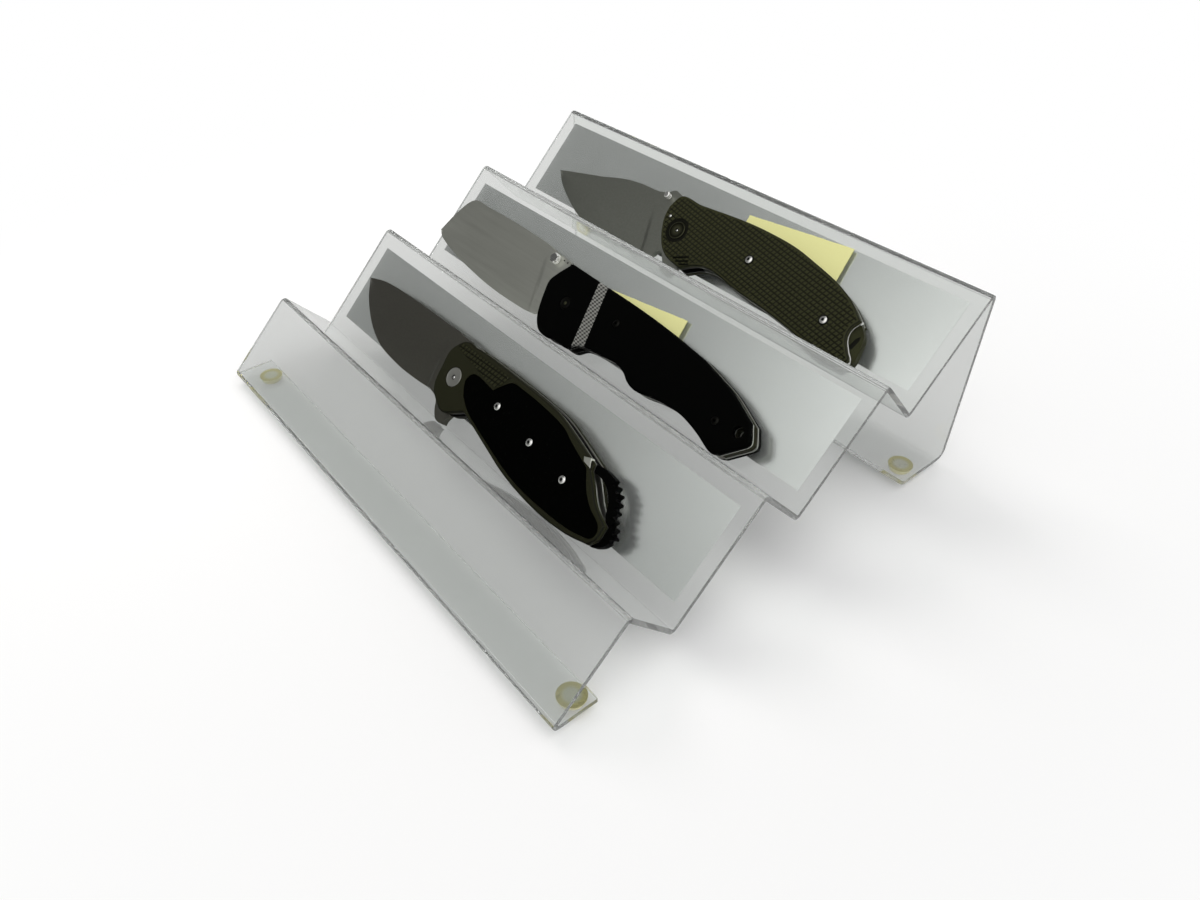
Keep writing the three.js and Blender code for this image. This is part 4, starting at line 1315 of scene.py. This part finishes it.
def tang_plate(blade):
    radius = blade["tang_radius"]
    shoulder_x = blade["shoulder"][0]
    heel_x, heel_y = blade["heel"][0][0]
    start = math.atan2(math.sqrt(radius ** 2 - shoulder_x ** 2), shoulder_x)
    end = math.atan2(heel_y, heel_x)
    angles = [start + (end - start) * i / TANG_STEPS for i in range(TANG_STEPS)]
    arc = [[(radius * math.cos(angle), radius * math.sin(angle))] for angle in angles]
    last = [blade["spine"][0], *reversed(blade["hump"])]
    runs = [[blade["shoulder"]], *arc, *blade["heel"], [blade["edge"][0]], last]
    return cut_plate(outline_of(runs), *BLADE_LAYER)


# Points inside the middle blade's jimping holes, whose walls and floors get painted shade
def in_shaded_jimping(x, y, z):
    return -23 < x < -14 and y > 18.3 and 6 < z < BLADE_LAYER[1] - 0.5


for knife, blade in enumerate(BLADES):
    steel_bar = tang_plate(blade)
    combine(steel_bar, ground_blade(blade), "UNION")
    drill(steel_bar, 0, 0, BARREL + RUN_GAP)
    if knife in STUDS:
        drill(steel_bar, *STUDS[knife][0], STUD_SHANK + RUN_GAP, sides=20)
    for x, y in JIMPING if knife == 1 else []:
        drill(steel_bar, x, y, JIMPING_RADIUS, JIMPING_FLOOR, 12)
    mark(steel_bar, "groove", in_shaded_jimping)
    fit(steel_bar, knife, "ground_blade", blade["look"], "blade", "_blade")
    print("blade", knife + 1, "faces", len(steel_bar.data.polygons))

# %% [markdown]
# ## Bright trim
# Past the end of the top knife's front scale the edge of its steel liner shows as a thin bright line, and a
# small pin head shows beside the pivot. On the lowest knife a corner of the liner shows in front of the back
# spacer. All three are thin trim, so they have no piece of their own in the model.

# %% Bright lip, pin head and corner
CORNER = [(97.2, 10.2), (98.6, 8.3), (103.6, 7.6), (101.4, 11.6)]
LIP_WINDOW = [(119, -19.5), (134, -19.5), (134, 1.6), (119, 1.6)]
LIP_SPAN = (0.25, 0.75)
PIN_PLACE = (-9.5, 5.4)
PIN_RINGS = [(0.8, -1), (0.95, 0), (0.9, 0.2), (0.6, 0.38), (0.2, 0.45)]
corner = cut_plate(counter_clockwise(CORNER), FRONT_LINER[1] - 0.1, FACE + 0.1, 0.15, 1)
fit(corner, 0, "liner_corner", (satin_blade, "hardware"))
lip = cut_plate(set_in(handles[2], -LIP_SPAN[1]), FRONT_LINER[0], FRONT_LINER[1] + 0.6)
cut_out(lip, set_in(handles[2], -LIP_SPAN[0]))
combine(lip, cut_plate(LIP_WINDOW, 0, ABOVE), "INTERSECT")
fit(lip, 2, "liner_lip", (bright, "hardware"))
pin_head = turn_part([(radius, FACE + rise) for radius, rise in PIN_RINGS], *PIN_PLACE, 24)
fit(pin_head, 2, "pin_head", (bright, "hardware"))
print("trim", 3)

# %% [markdown]
# ## Turned parts
# Pivots, body screws and thumb studs come off a lathe. Each is drawn up ring by ring from its profile, and a
# six-sided tool then cuts the socket of each pivot and screw.

# %% Pivots
PIVOT_LOOKS = [(dull_pivot, "hardware"), (black_oxide, "dark_hardware"), (olive_pivot, "hardware")]
SOCKETS = [1.5, 1.2, 1.2]
# The middle knife's plug takes the olive coating as a painted reflection, for the olive glint in the middle
# of its black pivot
PLUGS = [(0.85, bright), (1.1, olive_pivot), (0.6, bright)]
PLUG_RINGS = [(1, -1), (1, -0.3), (0.7, -0.16), (0.2, -0.1)]
HEAD_DEPTH = 1.0

# The rim of a pivot's head: how far each ring lies inside its radius, and how far under the scale's face
HEAD_RIM = [(0, HEAD_DEPTH), (0, 0.25), (0.1, 0.08), (0.3, 0), (0.8, 0.02), (0.95, 0.1)]
for knife, (radius, socket, (plug_radius, plug_finish)) in enumerate(zip(HEAD_RADII, SOCKETS, PLUGS)):
    rings = [(BARREL, REAR_SCALE[0]), (BARREL, FACE - HEAD_DEPTH)]
    rings += [(radius - inwards, FACE - under) for inwards, under in HEAD_RIM]
    pin = turn_part([*rings, (socket + 0.5, FACE - 0.1)], sides=64)
    drill(pin, 0, 0, socket, FACE - 0.9, 6)
    # Painted shade in each pivot's socket and on its head below the rim, and on the top knife a thin painted
    # dark ring on the head
    painted_ring_radius = radius - 0.87 if knife == 2 else -1
    mark(pin, "groove", lambda x, y, z: z < FACE - 0.15 or abs(math.hypot(x, y) - painted_ring_radius) < 0.12)
    fit(pin, knife, "pivot_barrel", PIVOT_LOOKS[knife], "pivot")
    plug = turn_part([(plug_radius * share, FACE + rise) for share, rise in PLUG_RINGS], sides=24)
    fit(plug, knife, "pivot_plug", (plug_finish, "hardware"))
print("pivots", len(HEAD_RADII))

# %% Body screws
SCREW_HEAD = 2.0
SCREW_DOME = 0.6
SCREW_SOCKET = 0.75
SCREW_LOOKS = [(bright, "hardware"), (black_oxide, "dark_hardware"), (bright, "hardware")]
for knife, (places, look) in enumerate(zip(SCREWS, SCREW_LOOKS)):
    seat = (INLAY_FACE if knife == 0 else FACE) + RUN_GAP
    rings = [(SCREW_SHANK, FRONT_LINER[0]), (SCREW_SHANK, seat)]
    for angle in (12 * DEGREE * i for i in range(7)):
        rings.append((SCREW_HEAD * math.cos(angle), seat + SCREW_DOME * math.sin(angle)))
    for number, (x, y) in enumerate(places, start=1):
        screw = turn_part(rings, x, y, 40)
        drill(screw, x, y, SCREW_SOCKET, seat - 0.3, 6)
        # Painted shade inside the screw's socket
        mark(screw, "groove", lambda px, py, pz: math.hypot(px - x, py - y) < SCREW_SOCKET + 0.01)
        fit(screw, knife, f"dome_screw_{number}", look, f"body_screw_{number}")
print("screws", sum(len(places) for places in SCREWS))

# %% Thumb studs
STUD_GROOVES = 3
STUD_GROOVE_DEPTH = 0.35
KNURL = 0.86
FACE_CUTS = [-2.1, -1.05, 0, 1.05, 2.1]
FACE_CUT_DEPTH = 1.2
FACE_CUT_HALF = 0.25
for knife, ((x, y), radius, height) in STUDS.items():
    low, high = BLADE_LAYER[0] - RUN_GAP, BLADE_LAYER[1] + RUN_GAP
    neck = radius - STUD_GROOVE_DEPTH
    head = []
    for i in range(STUD_GROOVES):
        for ring_radius, share in ((radius, 0), (radius, 0.2), (neck, 0.26), (neck, 0.3)):
            head.append((ring_radius, high + height * (i / STUD_GROOVES + share)))
    head[-2:] = [(radius - 0.5, high + height)]
    rear = [(ring_radius, low + high - level) for ring_radius, level in reversed(head)]
    stud = turn_part(rear + [(STUD_SHANK, low), (STUD_SHANK, high)] + head, x, y, 36)
    for vertex in stud.data.vertices if knife == 1 else []:
        out = Vector((vertex.co.x - x * MM, vertex.co.y - y * MM))
        if round(math.atan2(out.y, out.x) / (10 * DEGREE)) % 2 and out.length > (radius - 0.6) * MM:
            vertex.co.x = x * MM + out.x * KNURL
            vertex.co.y = y * MM + out.y * KNURL
    cut_floor = high + height - FACE_CUT_DEPTH
    for offset in FACE_CUTS if knife == 1 else []:
        left, right = x + offset - FACE_CUT_HALF, x + offset + FACE_CUT_HALF
        cut_out(stud, [(left, y - 4), (right, y - 4), (right, y + 4), (left, y + 4)], cut_floor)
    # Painted shade on the floors of the middle knife's stud face cuts
    mark(stud, "groove", lambda px, py, pz: knife == 1 and abs(pz - cut_floor) < 0.02)
    fit(stud, knife, "opening_stud", (bright, "hardware"), "thumb_stud", "_blade")
print("studs", len(STUDS))

# %% [markdown]
# ## Pieces that keep the model's shape
# The washers and the stop pins are plain turned rings and pins, hidden between the liners. Their modelled
# shape is the real one, so they only get their metal.

# %% Washers and stop pins
for knife in range(3):
    for part, finish in (("front_washer", bronze), ("rear_washer", bronze), ("stop_pin", bright)):
        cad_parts[f"knife_{knife + 1}_{part}"].material_slots[0].material = finish.material
print("kept pieces", 9)

# %% [markdown]
# ## Size of the finished object
# The dressed object has to fill the same box as the model it stands on.

# %% Bounds of the dressed object
low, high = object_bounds()
